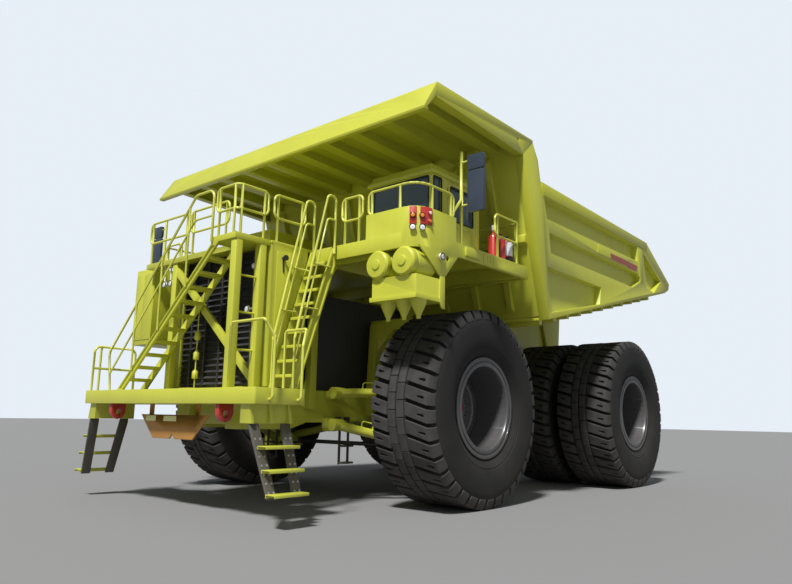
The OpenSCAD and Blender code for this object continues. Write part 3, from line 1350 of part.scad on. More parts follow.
in_row() frame();
in_row() front_bumper();
in_row() tow_hooks();
in_row() nose_plate();
in_row() radiator();
in_row() hood();
in_row() engine_block();
in_row() radiator_guard();
in_row() front_stair();
in_row() side_stair();
in_row() ladder_belts();
in_row() ladder_steps();
in_row() deck_left();
in_row() deck_right();
in_row() handrails();
in_row() cab_shell();
in_row() cab_roof();
in_row() cab_glass();
in_row() cab_seat();
in_row() mirrors();
in_row() air_cleaners();
in_row() deck_cabinets();
in_row() resistor_grid();
in_row() lamp_cluster();
in_row() headlamps();
in_row() extinguishers();
in_row() tanks();
in_row() rear_axle();
in_row() struts();
in_row() front_arms();
in_row() deck_posts();
in_row() hoist_crosstube();
in_row() stair_rails();
in_row() bumper_rails();
in_row() service_steps();
in_row() cab_door();
in_row() door_glass();
in_row() knuckle(1);  // knuckle_left
in_row() knuckle(-1);  // knuckle_right
in_row() tie_rod();
in_row() front_rim(1);  // rim_front_left
in_row() front_tyre(1);  // tyre_front_left
in_row() front_rim(-1);  // rim_front_right
in_row() front_tyre(-1);  // tyre_front_right
in_row() rear_rims(1);  // rims_rear_left
in_row() rear_tyres(1);  // tyres_rear_left
in_row() rear_rims(-1);  // rims_rear_right
in_row() rear_tyres(-1);  // tyres_rear_right
in_row() body_floor();
in_row() body_bolsters();
in_row() body_sides();
in_row() headboard();
in_row() canopy();
in_row() hoist_tube(1);  // hoist_tube_left
in_row() hoist_stage(1);  // hoist_stage_left
in_row() hoist_rod(1);  // hoist_rod_left
in_row() hoist_tube(-1);  // hoist_tube_right
in_row() hoist_stage(-1);  // hoist_stage_right
in_row() hoist_rod(-1);  // hoist_rod_right
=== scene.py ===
"""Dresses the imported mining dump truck: its finishes, tyres, rims and deck fittings."""

import json
import logging
import math
from dataclasses import dataclass, field
from enum import Enum
from typing import Sequence

import bpy
from mathutils import Matrix, Vector

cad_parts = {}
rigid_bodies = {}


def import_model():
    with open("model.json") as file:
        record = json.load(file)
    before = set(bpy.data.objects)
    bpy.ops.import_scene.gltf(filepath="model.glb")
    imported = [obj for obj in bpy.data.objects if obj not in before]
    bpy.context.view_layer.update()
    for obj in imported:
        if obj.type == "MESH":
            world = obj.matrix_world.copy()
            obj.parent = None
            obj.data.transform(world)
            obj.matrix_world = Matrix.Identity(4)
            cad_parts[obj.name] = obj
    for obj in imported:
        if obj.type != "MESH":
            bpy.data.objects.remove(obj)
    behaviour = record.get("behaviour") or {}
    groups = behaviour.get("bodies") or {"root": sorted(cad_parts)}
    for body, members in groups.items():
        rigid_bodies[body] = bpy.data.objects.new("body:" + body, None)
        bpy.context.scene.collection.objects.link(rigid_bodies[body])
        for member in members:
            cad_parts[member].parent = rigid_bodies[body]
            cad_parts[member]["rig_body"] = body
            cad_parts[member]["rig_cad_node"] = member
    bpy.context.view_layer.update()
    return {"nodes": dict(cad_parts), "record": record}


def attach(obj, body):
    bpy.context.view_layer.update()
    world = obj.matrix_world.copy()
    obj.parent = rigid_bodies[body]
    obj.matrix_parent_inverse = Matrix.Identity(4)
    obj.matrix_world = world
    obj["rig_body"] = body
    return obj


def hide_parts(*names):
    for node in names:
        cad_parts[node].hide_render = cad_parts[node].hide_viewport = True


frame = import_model()

log = logging.getLogger("dump_truck")
Point = tuple[float, float, float]
Colour = tuple[float, float, float]
Pair = tuple[float, float]

# Y of the front axle in the row's frame; places on the truck are counted from it
FRONT_AXLE_Y = -2.296
# Distance under which points count as one, and the wider one for a spun piece
MERGE = 0.0002
SPUN_MERGE = 0.0003
# Height of a fitted piece's foot over its seat, a little below it so that no gap shows
SEATED = -0.002
# Angle in degrees over which an edge is rounded
SHARP = 35.0


class Surface(Enum):
    """Kind of surface, which sets how strongly it mirrors and whether light passes through."""

    HARD = "hard"
    RUBBER = "rubber"
    CLEAR = "clear"


class Side(Enum):
    """Side of the truck, as the sign of its X values."""

    LEFT = 1
    RIGHT = -1

    @property
    def word(self) -> str:
        """Lower-case word used in node and body names."""
        return self.name.lower()

    @property
    def out(self) -> Vector:
        """Way from the centre line out to this side."""
        return Vector((self.value, 0.0, 0.0))


def at(x: float, y: float, z: float) -> Vector:
    """Turns a place counted from the front axle into the row's frame."""
    return Vector((x, y + FRONT_AXLE_Y, z))


# SHARED SHADER GROUPS


@dataclass
class ShaderGroups:
    """Builds each shared node group once and hands it out.

    Attributes:
        patch_detail: Octaves of the broad patches.
        streak_scale: Scale of the rain streaks along X, Y and Z, which draws them out downwards.
        streak_detail: Octaves of the streaks.
        streak_share: Weight of the streaks beside the patches.
        mean: Mean of patches and streaks together, at which the colour stays as it is.
        dust_colour: Linear colour of the dust.
        dust_height: Height up to which the dust thins out, in metres.
        dust_left: Share of the dust that is left from there upwards.
        grain_detail: Octaves of the grain.
        fine_share: Weight of the fine grain beside the coarse one.
        made: The groups built so far, by name.
    """

    patch_detail: float = 6.0
    streak_scale: Point = (9.0, 9.0, 0.7)
    streak_detail: float = 4.0
    streak_share: float = 0.35
    mean: float = 0.675
    dust_colour: Colour = (0.30, 0.26, 0.21)
    dust_height: float = 3.2
    dust_left: float = 0.12
    grain_detail: float = 3.0
    fine_share: float = 0.4
    made: dict[str, bpy.types.NodeTree] = field(default_factory=dict)

    def started(self, name: str, inputs: dict[str, str],
                outputs: dict[str, str]) -> bpy.types.NodeTree:
        """Starts a group with its named sockets.

        Args:
            name: Name of the group.
            inputs: Kind of each input, by name.
            outputs: Kind of each output, by name.

        Returns:
            The group, empty but for its sockets.
        """
        tree = bpy.data.node_groups.new(name, "ShaderNodeTree")
        for way, sockets in (("INPUT", inputs), ("OUTPUT", outputs)):
            for title, kind in sockets.items():
                tree.interface.new_socket(title, in_out=way, socket_type=f"NodeSocket{kind}")
        self.made[name] = tree
        return tree

    @staticmethod
    def feed(tree: bpy.types.NodeTree, socket: bpy.types.NodeSocket,
             value: bpy.types.NodeSocket | float) -> None:
        """Links another node's output to an input, or sets the input to a plain number."""
        if isinstance(value, bpy.types.NodeSocket):
            tree.links.new(value, socket)
        else:
            socket.default_value = value

    def noise(self, tree: bpy.types.NodeTree, place: bpy.types.NodeSocket,
              scale: bpy.types.NodeSocket | float, detail: float) -> bpy.types.NodeSocket:
        """Adds a noise texture.

        Args:
            tree: The group.
            place: Coordinates that the noise reads.
            scale: Its scale.
            detail: Its octaves.

        Returns:
            The output from 0 to 1.
        """
        node = tree.nodes.new("ShaderNodeTexNoise")
        node.inputs["Detail"].default_value = detail
        tree.links.new(place, node.inputs["Vector"])
        self.feed(tree, node.inputs["Scale"], scale)
        return node.outputs["Fac"]

    def maths(self, tree: bpy.types.NodeTree, operation: str,
              *values: bpy.types.NodeSocket | float, clamp: bool = False) -> bpy.types.NodeSocket:
        """Adds a step of arithmetic.

        Args:
            tree: The group.
            operation: Name of the operation.
            values: What goes into it, in order.
            clamp: Whether the result is kept from 0 to 1.

        Returns:
            The output.
        """
        node = tree.nodes.new("ShaderNodeMath")
        node.operation = operation
        node.use_clamp = clamp
        for socket, value in zip(node.inputs, values):
            self.feed(tree, socket, value)
        return node.outputs[0]

    def mottle(self) -> bpy.types.NodeTree:
        """Group that shades a colour with broad patches, rain streaks and dust from below.

        Returns:
            The node tree with inputs Colour, Depth, Scale and Dust, and outputs Colour and Patch.
        """
        if "mottle" in self.made:
            return self.made["mottle"]
        tree = self.started(
            "mottle", {"Colour": "Color", "Depth": "Float", "Scale": "Float", "Dust": "Float"},
            {"Colour": "Color", "Patch": "Float"})
        new, link = tree.nodes.new, tree.links.new
        given, out, place = new("NodeGroupInput"), new("NodeGroupOutput"), new("ShaderNodeTexCoord")
        patches = self.noise(tree, place.outputs["Object"], given.outputs["Scale"],
                             self.patch_detail)
        downwards = new("ShaderNodeMapping")
        downwards.inputs["Scale"].default_value = self.streak_scale
        link(place.outputs["Object"], downwards.inputs["Vector"])
        streaks = self.noise(tree, downwards.outputs["Vector"], 1.0, self.streak_detail)
        both = self.maths(tree, "MULTIPLY_ADD", streaks, self.streak_share, patches)
        off_mean = self.maths(tree, "SUBTRACT", both, self.mean)
        shade = self.maths(tree, "MULTIPLY_ADD", off_mean, given.outputs["Depth"], 1.0)
        shaded = new("ShaderNodeVectorMath")
        shaded.operation = "SCALE"
        link(given.outputs["Colour"], shaded.inputs[0])
        link(shade, shaded.inputs["Scale"])
        height = new("ShaderNodeSeparateXYZ")
        link(place.outputs["Object"], height.inputs["Vector"])
        low = new("ShaderNodeMapRange")
        low.inputs["From Max"].default_value = self.dust_height
        low.inputs["To Min"].default_value = 1.0
        low.inputs["To Max"].default_value = self.dust_left
        link(height.outputs["Z"], low.inputs["Value"])
        patchy = self.maths(tree, "MULTIPLY", low.outputs["Result"], patches)
        dust = self.maths(tree, "MULTIPLY", patchy, given.outputs["Dust"], clamp=True)
        dusty = new("ShaderNodeMix")
        dusty.data_type = "RGBA"
        dusty.inputs["B"].default_value = (*self.dust_colour, 1.0)
        link(dust, dusty.inputs["Factor"])
        link(shaded.outputs["Vector"], dusty.inputs["A"])
        link(dusty.outputs["Result"], out.inputs["Colour"])
        link(patches, out.inputs["Patch"])
        return tree

    def grain(self) -> bpy.types.NodeTree:
        """Group that gives a fine surface height, such as paint's orange peel or moulded rubber.

        Returns:
            The node tree with inputs Fine and Coarse, which are scales, and the output Height.
        """
        if "grain" in self.made:
            return self.made["grain"]
        tree = self.started("grain", {"Fine": "Float", "Coarse": "Float"}, {"Height": "Float"})
        new = tree.nodes.new
        given, out, place = new("NodeGroupInput"), new("NodeGroupOutput"), new("ShaderNodeTexCoord")
        fine, coarse = (self.noise(tree, place.outputs["Object"], given.outputs[name],
                                   self.grain_detail) for name in ("Fine", "Coarse"))
        height = self.maths(tree, "MULTIPLY_ADD", fine, self.fine_share, coarse)
        tree.links.new(height, out.inputs["Height"])
        return tree


GROUPS = ShaderGroups()

# FINISHES

# Roughness of every clear coat, and how far a surface's own roughness wanders down and up
COAT_ROUGHNESS = 0.12
SMOOTHER, ROUGHER = 0.06, 0.10
# How strongly each kind of surface mirrors
MIRRORING: dict[Surface, float] = {Surface.HARD: 0.5, Surface.RUBBER: 0.35, Surface.CLEAR: 0.8}
# Share of the light that tinted window glass lets through, and its refraction
GLASS_TRANSMISSION, GLASS_IOR = 0.35, 1.45


@dataclass(frozen=True)
class Finish:
    """A surface finish: its colour, gloss and how both wander.

    Attributes:
        name: Name of the finish, which its material carries after a common first word.
        slot: Material slot of the record that the finish belongs to.
        colour: Linear base colour.
        roughness: Roughness of the clean surface.
        surface: Kind of surface.
        metallic: How metallic it is.
        coat: Weight of a clear coat.
        depth: How far the colour wanders from patch to patch.
        patch_scale: Patches to a metre.
        dust: How much dust lies on it near the ground.
        relief: Height of the fine grain, in metres.
        fine: Scale of the fine grain.
        coarse: Scale of the coarse grain.
    """

    name: str
    slot: str
    colour: Colour
    roughness: float
    surface: Surface = Surface.HARD
    metallic: float = 0.0
    coat: float = 0.0
    depth: float = 0.25
    patch_scale: float = 0.9
    dust: float = 0.25
    relief: float = 0.0004
    fine: float = 160.0
    coarse: float = 26.0

    def material(self) -> bpy.types.Material:
        """Returns the material of this finish, built the first time it is asked for."""
        found = bpy.data.materials.get(f"finish_{self.name}")
        return found if found else self.build()

    def build(self) -> bpy.types.Material:
        """Builds the node tree of the finish.

        Returns:
            The new material.
        """
        made = bpy.data.materials.new(f"finish_{self.name}")
        made.use_nodes = True
        nodes, link = made.node_tree.nodes, made.node_tree.links.new
        shader = nodes["Principled BSDF"]
        shader.inputs["Metallic"].default_value = self.metallic
        shader.inputs["Coat Weight"].default_value = self.coat
        shader.inputs["Coat Roughness"].default_value = COAT_ROUGHNESS
        shader.inputs["Specular IOR Level"].default_value = MIRRORING[self.surface]
        if self.surface is Surface.CLEAR:
            shader.inputs["Transmission Weight"].default_value = GLASS_TRANSMISSION
            shader.inputs["IOR"].default_value = GLASS_IOR
        mottle = nodes.new("ShaderNodeGroup")
        mottle.node_tree = GROUPS.mottle()
        mottle.inputs["Colour"].default_value = (*self.colour, 1.0)
        mottle.inputs["Depth"].default_value = self.depth
        mottle.inputs["Scale"].default_value = self.patch_scale
        mottle.inputs["Dust"].default_value = self.dust
        link(mottle.outputs["Colour"], shader.inputs["Base Color"])
        rough = nodes.new("ShaderNodeMapRange")
        rough.inputs["To Min"].default_value = self.roughness - SMOOTHER
        rough.inputs["To Max"].default_value = self.roughness + ROUGHER
        link(mottle.outputs["Patch"], rough.inputs["Value"])
        link(rough.outputs["Result"], shader.inputs["Roughness"])
        if self.relief > 0.0:
            grain = nodes.new("ShaderNodeGroup")
            grain.node_tree = GROUPS.grain()
            grain.inputs["Fine"].default_value = self.fine
            grain.inputs["Coarse"].default_value = self.coarse
            bump = nodes.new("ShaderNodeBump")
            bump.inputs["Distance"].default_value = self.relief
            link(grain.outputs["Height"], bump.inputs["Height"])
            link(bump.outputs["Normal"], shader.inputs["Normal"])
        return made


LIME = Finish("lime_paint", "lime_paint", (0.500, 0.512, 0.044), 0.36, coat=0.22, dust=0.12)
RAIL_LIME = Finish("rail_lime", "rail_paint", (0.565, 0.575, 0.080), 0.36, coat=0.25,
                   patch_scale=2.0, dust=0.10)
RED = Finish("signal_red", "red_paint", (0.46, 0.022, 0.018), 0.30, coat=0.4)
ORANGE = Finish("orange_plate", "orange_plate", (0.50, 0.235, 0.036), 0.45)
GRILLE = Finish("grille_black", "black_grille", (0.020, 0.020, 0.022), 0.55, depth=0.5)
ENGINE = Finish("engine_iron", "engine_iron", (0.035, 0.036, 0.038), 0.6, relief=0.0015, fine=60.0)
BELT = Finish("belt_rubber", "belt_rubber", (0.050, 0.049, 0.040), 0.62, Surface.RUBBER, dust=0.5)
GLASS = Finish("window_glass", "window_glass", (0.10, 0.145, 0.195), 0.06, Surface.CLEAR,
               depth=0.1, dust=0.0, relief=0.0)
FABRIC = Finish("seat_fabric", "seat_fabric", (0.03, 0.03, 0.035), 0.85, Surface.RUBBER,
                relief=0.001, fine=420.0)
MIRROR = Finish("mirror_housing", "mirror_housing", (0.034, 0.049, 0.074), 0.25, coat=0.3,
                depth=0.15)
GRID = Finish("grid_steel", "grid_steel", (0.30, 0.31, 0.30), 0.4, metallic=0.6)
LENS = Finish("lamp_lens", "lamp_lens", (0.82, 0.83, 0.80), 0.08, coat=0.6, depth=0.05,
              dust=0.0, relief=0.0)
AXLE = Finish("axle_iron", "axle_iron", (0.032, 0.032, 0.034), 0.5, dust=0.5)
STRUT = Finish("strut_steel", "strut_steel", (0.085, 0.09, 0.092), 0.38, metallic=0.5)
RIM = Finish("rim_paint", "rim_paint", (0.080, 0.079, 0.081), 0.34, metallic=0.15, coat=0.25,
             dust=0.2)
TYRE = Finish("tyre_rubber", "tyre_rubber", (0.0120, 0.0118, 0.0118), 0.82, Surface.RUBBER,
              depth=0.45, patch_scale=2.2, dust=0.10, relief=0.0012, fine=240.0, coarse=60.0)
TREAD = Finish("tread_rubber", "tyre_rubber", (0.034, 0.033, 0.033), 0.85, Surface.RUBBER,
               depth=0.8, patch_scale=5.0, dust=0.20, relief=0.0020, fine=300.0, coarse=90.0)
CHROME = Finish("hoist_chrome", "hoist_chrome", (0.62, 0.62, 0.64), 0.14, metallic=1.0,
                depth=0.08, dust=0.05)
SEAL = Finish("window_seal", "belt_rubber", (0.012, 0.012, 0.013), 0.5, Surface.RUBBER,
              dust=0.0, relief=0.0)
AMBER = Finish("amber_lens", "lamp_lens", (0.72, 0.24, 0.02), 0.12, coat=0.6, depth=0.05,
               dust=0.0, relief=0.0)
REFLECTOR = Finish("reflector", "lamp_lens", (0.80, 0.80, 0.30), 0.25, coat=0.3, depth=0.1,
                   relief=0.0)
STRIPE = Finish("stripe_red", "red_paint", (0.34, 0.075, 0.055), 0.40, coat=0.2)
CAP = Finish("cap_red", "red_paint", (0.16, 0.020, 0.018), 0.45)
BOLT = Finish("bolt_zinc", "grid_steel", (0.52, 0.52, 0.50), 0.35, metallic=0.7, relief=0.0)
BOTTLE = Finish("bottle_white", "lamp_lens", (0.66, 0.68, 0.72), 0.35, coat=0.3, depth=0.1,
                relief=0.0)

FINISH_OF_SLOT: dict[str, Finish] = {
    f.slot: f for f in (LIME, RAIL_LIME, RED, ORANGE, GRILLE, ENGINE, BELT, GLASS, FABRIC, MIRROR,
                        GRID, LENS, AXLE, STRUT, RIM, TYRE, CHROME)}


# MODELLING AS BY HAND

# Side of the small plane that a drawing starts from, which is merged into its first point
START_SIZE = 0.02
# Roundness of a cross-section of tube, as the bevel of a curve counts it
TUBE_ROUNDNESS = 3


def deselect() -> None:
    """Leaves edit mode and deselects every object."""
    if bpy.context.mode != "OBJECT":
        bpy.ops.object.mode_set(mode="OBJECT")
    bpy.ops.object.select_all(action="DESELECT")


def pick(*objects: bpy.types.Object) -> None:
    """Selects these objects alone and makes the first one active."""
    deselect()
    for each in objects:
        each.select_set(True)
    bpy.context.view_layer.objects.active = objects[0]


def drawn(name: str, outline: Sequence[Vector], filled: bool = True) -> bpy.types.Object:
    """Draws an outline point by point and leaves it open or fills it.

    Args:
        name: Name of the new object.
        outline: Places of the points, in the row's frame.
        filled: Whether the outline is closed and filled with a face.

    Returns:
        The new object, in object mode.
    """
    deselect()
    bpy.ops.mesh.primitive_plane_add(size=START_SIZE, location=outline[0])
    piece = bpy.context.active_object
    piece.name = name
    bpy.ops.object.mode_set(mode="EDIT")
    bpy.ops.mesh.select_mode(type="VERT")
    bpy.ops.mesh.select_all(action="SELECT")
    bpy.ops.mesh.merge(type="CENTER")
    for a, b in zip(outline, outline[1:]):
        bpy.ops.mesh.extrude_region_move(TRANSFORM_OT_translate={"value": tuple(b - a)})
    if filled:
        bpy.ops.mesh.select_all(action="SELECT")
        bpy.ops.mesh.edge_face_add()
    bpy.ops.object.mode_set(mode="OBJECT")
    settle(piece)
    return piece


def settle(piece: bpy.types.Object) -> bpy.types.Object:
    """Puts a piece's place, turn and scale into its mesh."""
    pick(piece)
    bpy.ops.object.transform_apply(location=True, rotation=True, scale=True)
    return piece


def thickened(piece: bpy.types.Object, by: Vector) -> bpy.types.Object:
    """Extrudes a filled outline by a vector and turns its faces outwards."""
    pick(piece)
    bpy.ops.object.mode_set(mode="EDIT")
    bpy.ops.mesh.select_all(action="SELECT")
    bpy.ops.mesh.extrude_region_move(TRANSFORM_OT_translate={"value": tuple(by)})
    face_outwards()
    bpy.ops.object.mode_set(mode="OBJECT")
    return piece


def face_outwards(merge: float = MERGE) -> None:
    """In edit mode, merges doubles closer than this and turns every face outwards."""
    bpy.ops.mesh.select_all(action="SELECT")
    bpy.ops.mesh.remove_doubles(threshold=merge)
    bpy.ops.mesh.normals_make_consistent(inside=False)


def plate(name: str, outline: Sequence[Vector], by: Vector, edge: float = 0.0) -> bpy.types.Object:
    """Makes a plate from an outline and a thickness, with its edges rounded.

    Args:
        name: Name of the piece.
        outline: Corners of one face.
        by: Vector from that face to the other.
        edge: Width of the rounded edges, or 0 for sharp ones.

    Returns:
        The plate.
    """
    piece = thickened(drawn(name, outline), by)
    return softened_edges(piece, edge) if edge > 0.0 else piece


def softened_edges(piece: bpy.types.Object, width: float, segments: int = 2) -> bpy.types.Object:
    """Rounds the sharp edges of a piece with an applied bevel."""
    pick(piece)
    bevel = piece.modifiers.new("rounding", "BEVEL")
    bevel.width = width
    bevel.segments = segments
    bevel.limit_method = "ANGLE"
    bevel.angle_limit = math.radians(SHARP)
    bevel.use_clamp_overlap = True
    bpy.ops.object.modifier_apply(modifier=bevel.name)
    return piece


def spun(name: str, outline: Sequence[Pair], middle: Vector, steps: int) -> bpy.types.Object:
    """Spins a closed outline once round a wheel's axis, which runs along X.

    Args:
        name: Name of the piece.
        outline: Points as (distance along the axis from the middle, radius).
        middle: Middle of the wheel.
        steps: Steps in the turn.

    Returns:
        The revolved piece.
    """
    points = [middle + Vector((s, 0.0, r)) for s, r in outline]
    piece = drawn(name, [*points, points[0]], filled=False)
    pick(piece)
    bpy.ops.object.mode_set(mode="EDIT")
    bpy.ops.mesh.select_all(action="SELECT")
    bpy.ops.mesh.spin(steps=steps, angle=math.tau, center=middle, axis=(1.0, 0.0, 0.0))
    face_outwards(SPUN_MERGE)
    bpy.ops.object.mode_set(mode="OBJECT")
    return piece


def tube(name: str, points: Sequence[Vector], radius: float, bend: float) -> bpy.types.Object:
    """Makes a tube along points from a bevelled curve, then turns it into a mesh.

    Args:
        name: Name of the piece.
        points: Points that the tube runs through.
        radius: Radius of the tube.
        bend: Radius of the bends.

    Returns:
        The tube as a mesh with closed ends.
    """
    data = bpy.data.curves.new(name, "CURVE")
    data.dimensions = "3D"
    data.bevel_depth = radius
    data.bevel_resolution = TUBE_ROUNDNESS
    data.use_fill_caps = True
    route = rounded_route(points, bend)
    line = data.splines.new("POLY")
    line.points.add(len(route) - 1)
    for knot, p in zip(line.points, route):
        knot.co = (*p, 1.0)
    piece = bpy.data.objects.new(name, data)
    bpy.context.scene.collection.objects.link(piece)
    pick(piece)
    bpy.ops.object.convert(target="MESH")
    return bpy.context.active_object


def rounded_route(points: Sequence[Vector], bend: float, steps: int = 6) -> list[Vector]:
    """Rounds the corners of a route.

    Args:
        points: Corners of the route.
        bend: How far from a corner its bend starts.
        steps: Points in a bend.

    Returns:
        The points of the rounded route.
    """
    route = [points[0]]
    for a, b, c in zip(points, points[1:], points[2:]):
        reach = min(bend, (a - b).length / 2, (c - b).length / 2)
        start, end = b + (a - b).normalized() * reach, b + (c - b).normalized() * reach
        for i in range(steps + 1):
            t = i / steps
            route.append(start.lerp(b, t).lerp(b.lerp(end, t), t))
    route.append(points[-1])
    return route


def joined(name: str, parts: Sequence[bpy.types.Object]) -> bpy.types.Object:
    """Joins parts into one piece with this name."""
    pick(*parts)
    if len(parts) > 1:
        bpy.ops.object.join()
    piece = bpy.context.active_object
    piece.name = name
    piece.data.name = name
    return piece


def turned_copy(piece: bpy.types.Object, angle: float, middle: Vector) -> bpy.types.Object:
    """Copies a piece with its own mesh and turns the copy round a wheel's axis."""
    pick(piece)
    bpy.ops.object.duplicate(linked=False)
    copy = bpy.context.active_object
    spin = Matrix.Translation(middle) @ Matrix.Rotation(angle, 4, "X") @ Matrix.Translation(-middle)
    copy.data.transform(spin)
    return copy


def dressed(piece: bpy.types.Object, finish: Finish, body: str, *stands_for: str,
            smooth: float = 32.0) -> bpy.types.Object:
    """Gives a piece its finish, shading and body, and hides the nodes that it stands for.

    Args:
        piece: The finished mesh.
        finish: Its finish.
        body: Name of the body that it rides on.
        stands_for: Names of the nodes that it replaces.
        smooth: Angle in degrees under which edges are shaded smooth.

    Returns:
        The same piece.
    """
    pick(piece)
    bpy.ops.object.shade_smooth_by_angle(angle=math.radians(smooth))
    piece.data.materials.clear()
    piece.data.materials.append(finish.material())
    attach(piece, body)
    if stands_for:
        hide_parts(*stands_for)
    deselect()
    log.info("%s rides on %s, %d faces", piece.name, body, len(piece.data.polygons))
    return piece


# THE SOLIDS THAT STAY


@dataclass
class SteelWork:
    """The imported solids: each gets its finish and a copy with rounded edges that stands for it.

    Attributes:
        edge: Width of a rounded plate edge, in metres.
        flat: Angle in degrees under which neighbouring facets are merged into one face.
        tubes: Nodes of round tube and turned work, whose copy is only merged and smoothed.
        made_elsewhere: Nodes that another class replaces.
    """

    edge: float = 0.007
    flat: float = 0.6
    tubes: frozenset[str] = frozenset()
    made_elsewhere: frozenset[str] = frozenset()

    def dress(self) -> None:
        """Gives every node its finish, and its copy where no other class makes one."""
        slots = {row["node"]: row["material_slot"] for row in frame["record"]["subparts"]}
        bodies = frame["record"]["behaviour"]["bodies"]
        body_of = {node: body for body, nodes in bodies.items() for node in nodes}
        for name, node in frame["nodes"].items():
            finish = FINISH_OF_SLOT[slots[name]]
            node.data.materials.clear()
            node.data.materials.append(finish.material())
            if name not in self.made_elsewhere:
                self.round_edges(node, finish, body_of[name])

    def round_edges(self, node: bpy.types.Object, finish: Finish, body: str) -> bpy.types.Object:
        """Makes a merged copy of a node, with its edges rounded unless it is tube work.

        Args:
            node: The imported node.
            finish: Finish of the copy.
            body: Body of the node.

        Returns:
            The copy, which stands for the node.
        """
        pick(node)
        bpy.ops.object.duplicate(linked=False)
        copy = bpy.context.active_object
        copy.parent = None
        copy.name = f"{node.name}_plate"
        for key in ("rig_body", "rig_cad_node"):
            if key in copy:
                del copy[key]
        bpy.ops.object.mode_set(mode="EDIT")
        bpy.ops.mesh.select_all(action="SELECT")
        bpy.ops.mesh.remove_doubles(threshold=MERGE)
        bpy.ops.mesh.dissolve_limited(angle_limit=math.radians(self.flat))
        bpy.ops.object.mode_set(mode="OBJECT")
        if node.name not in self.tubes:
            softened_edges(copy, self.edge)
        return dressed(copy, finish, body, node.name)


# TYRES


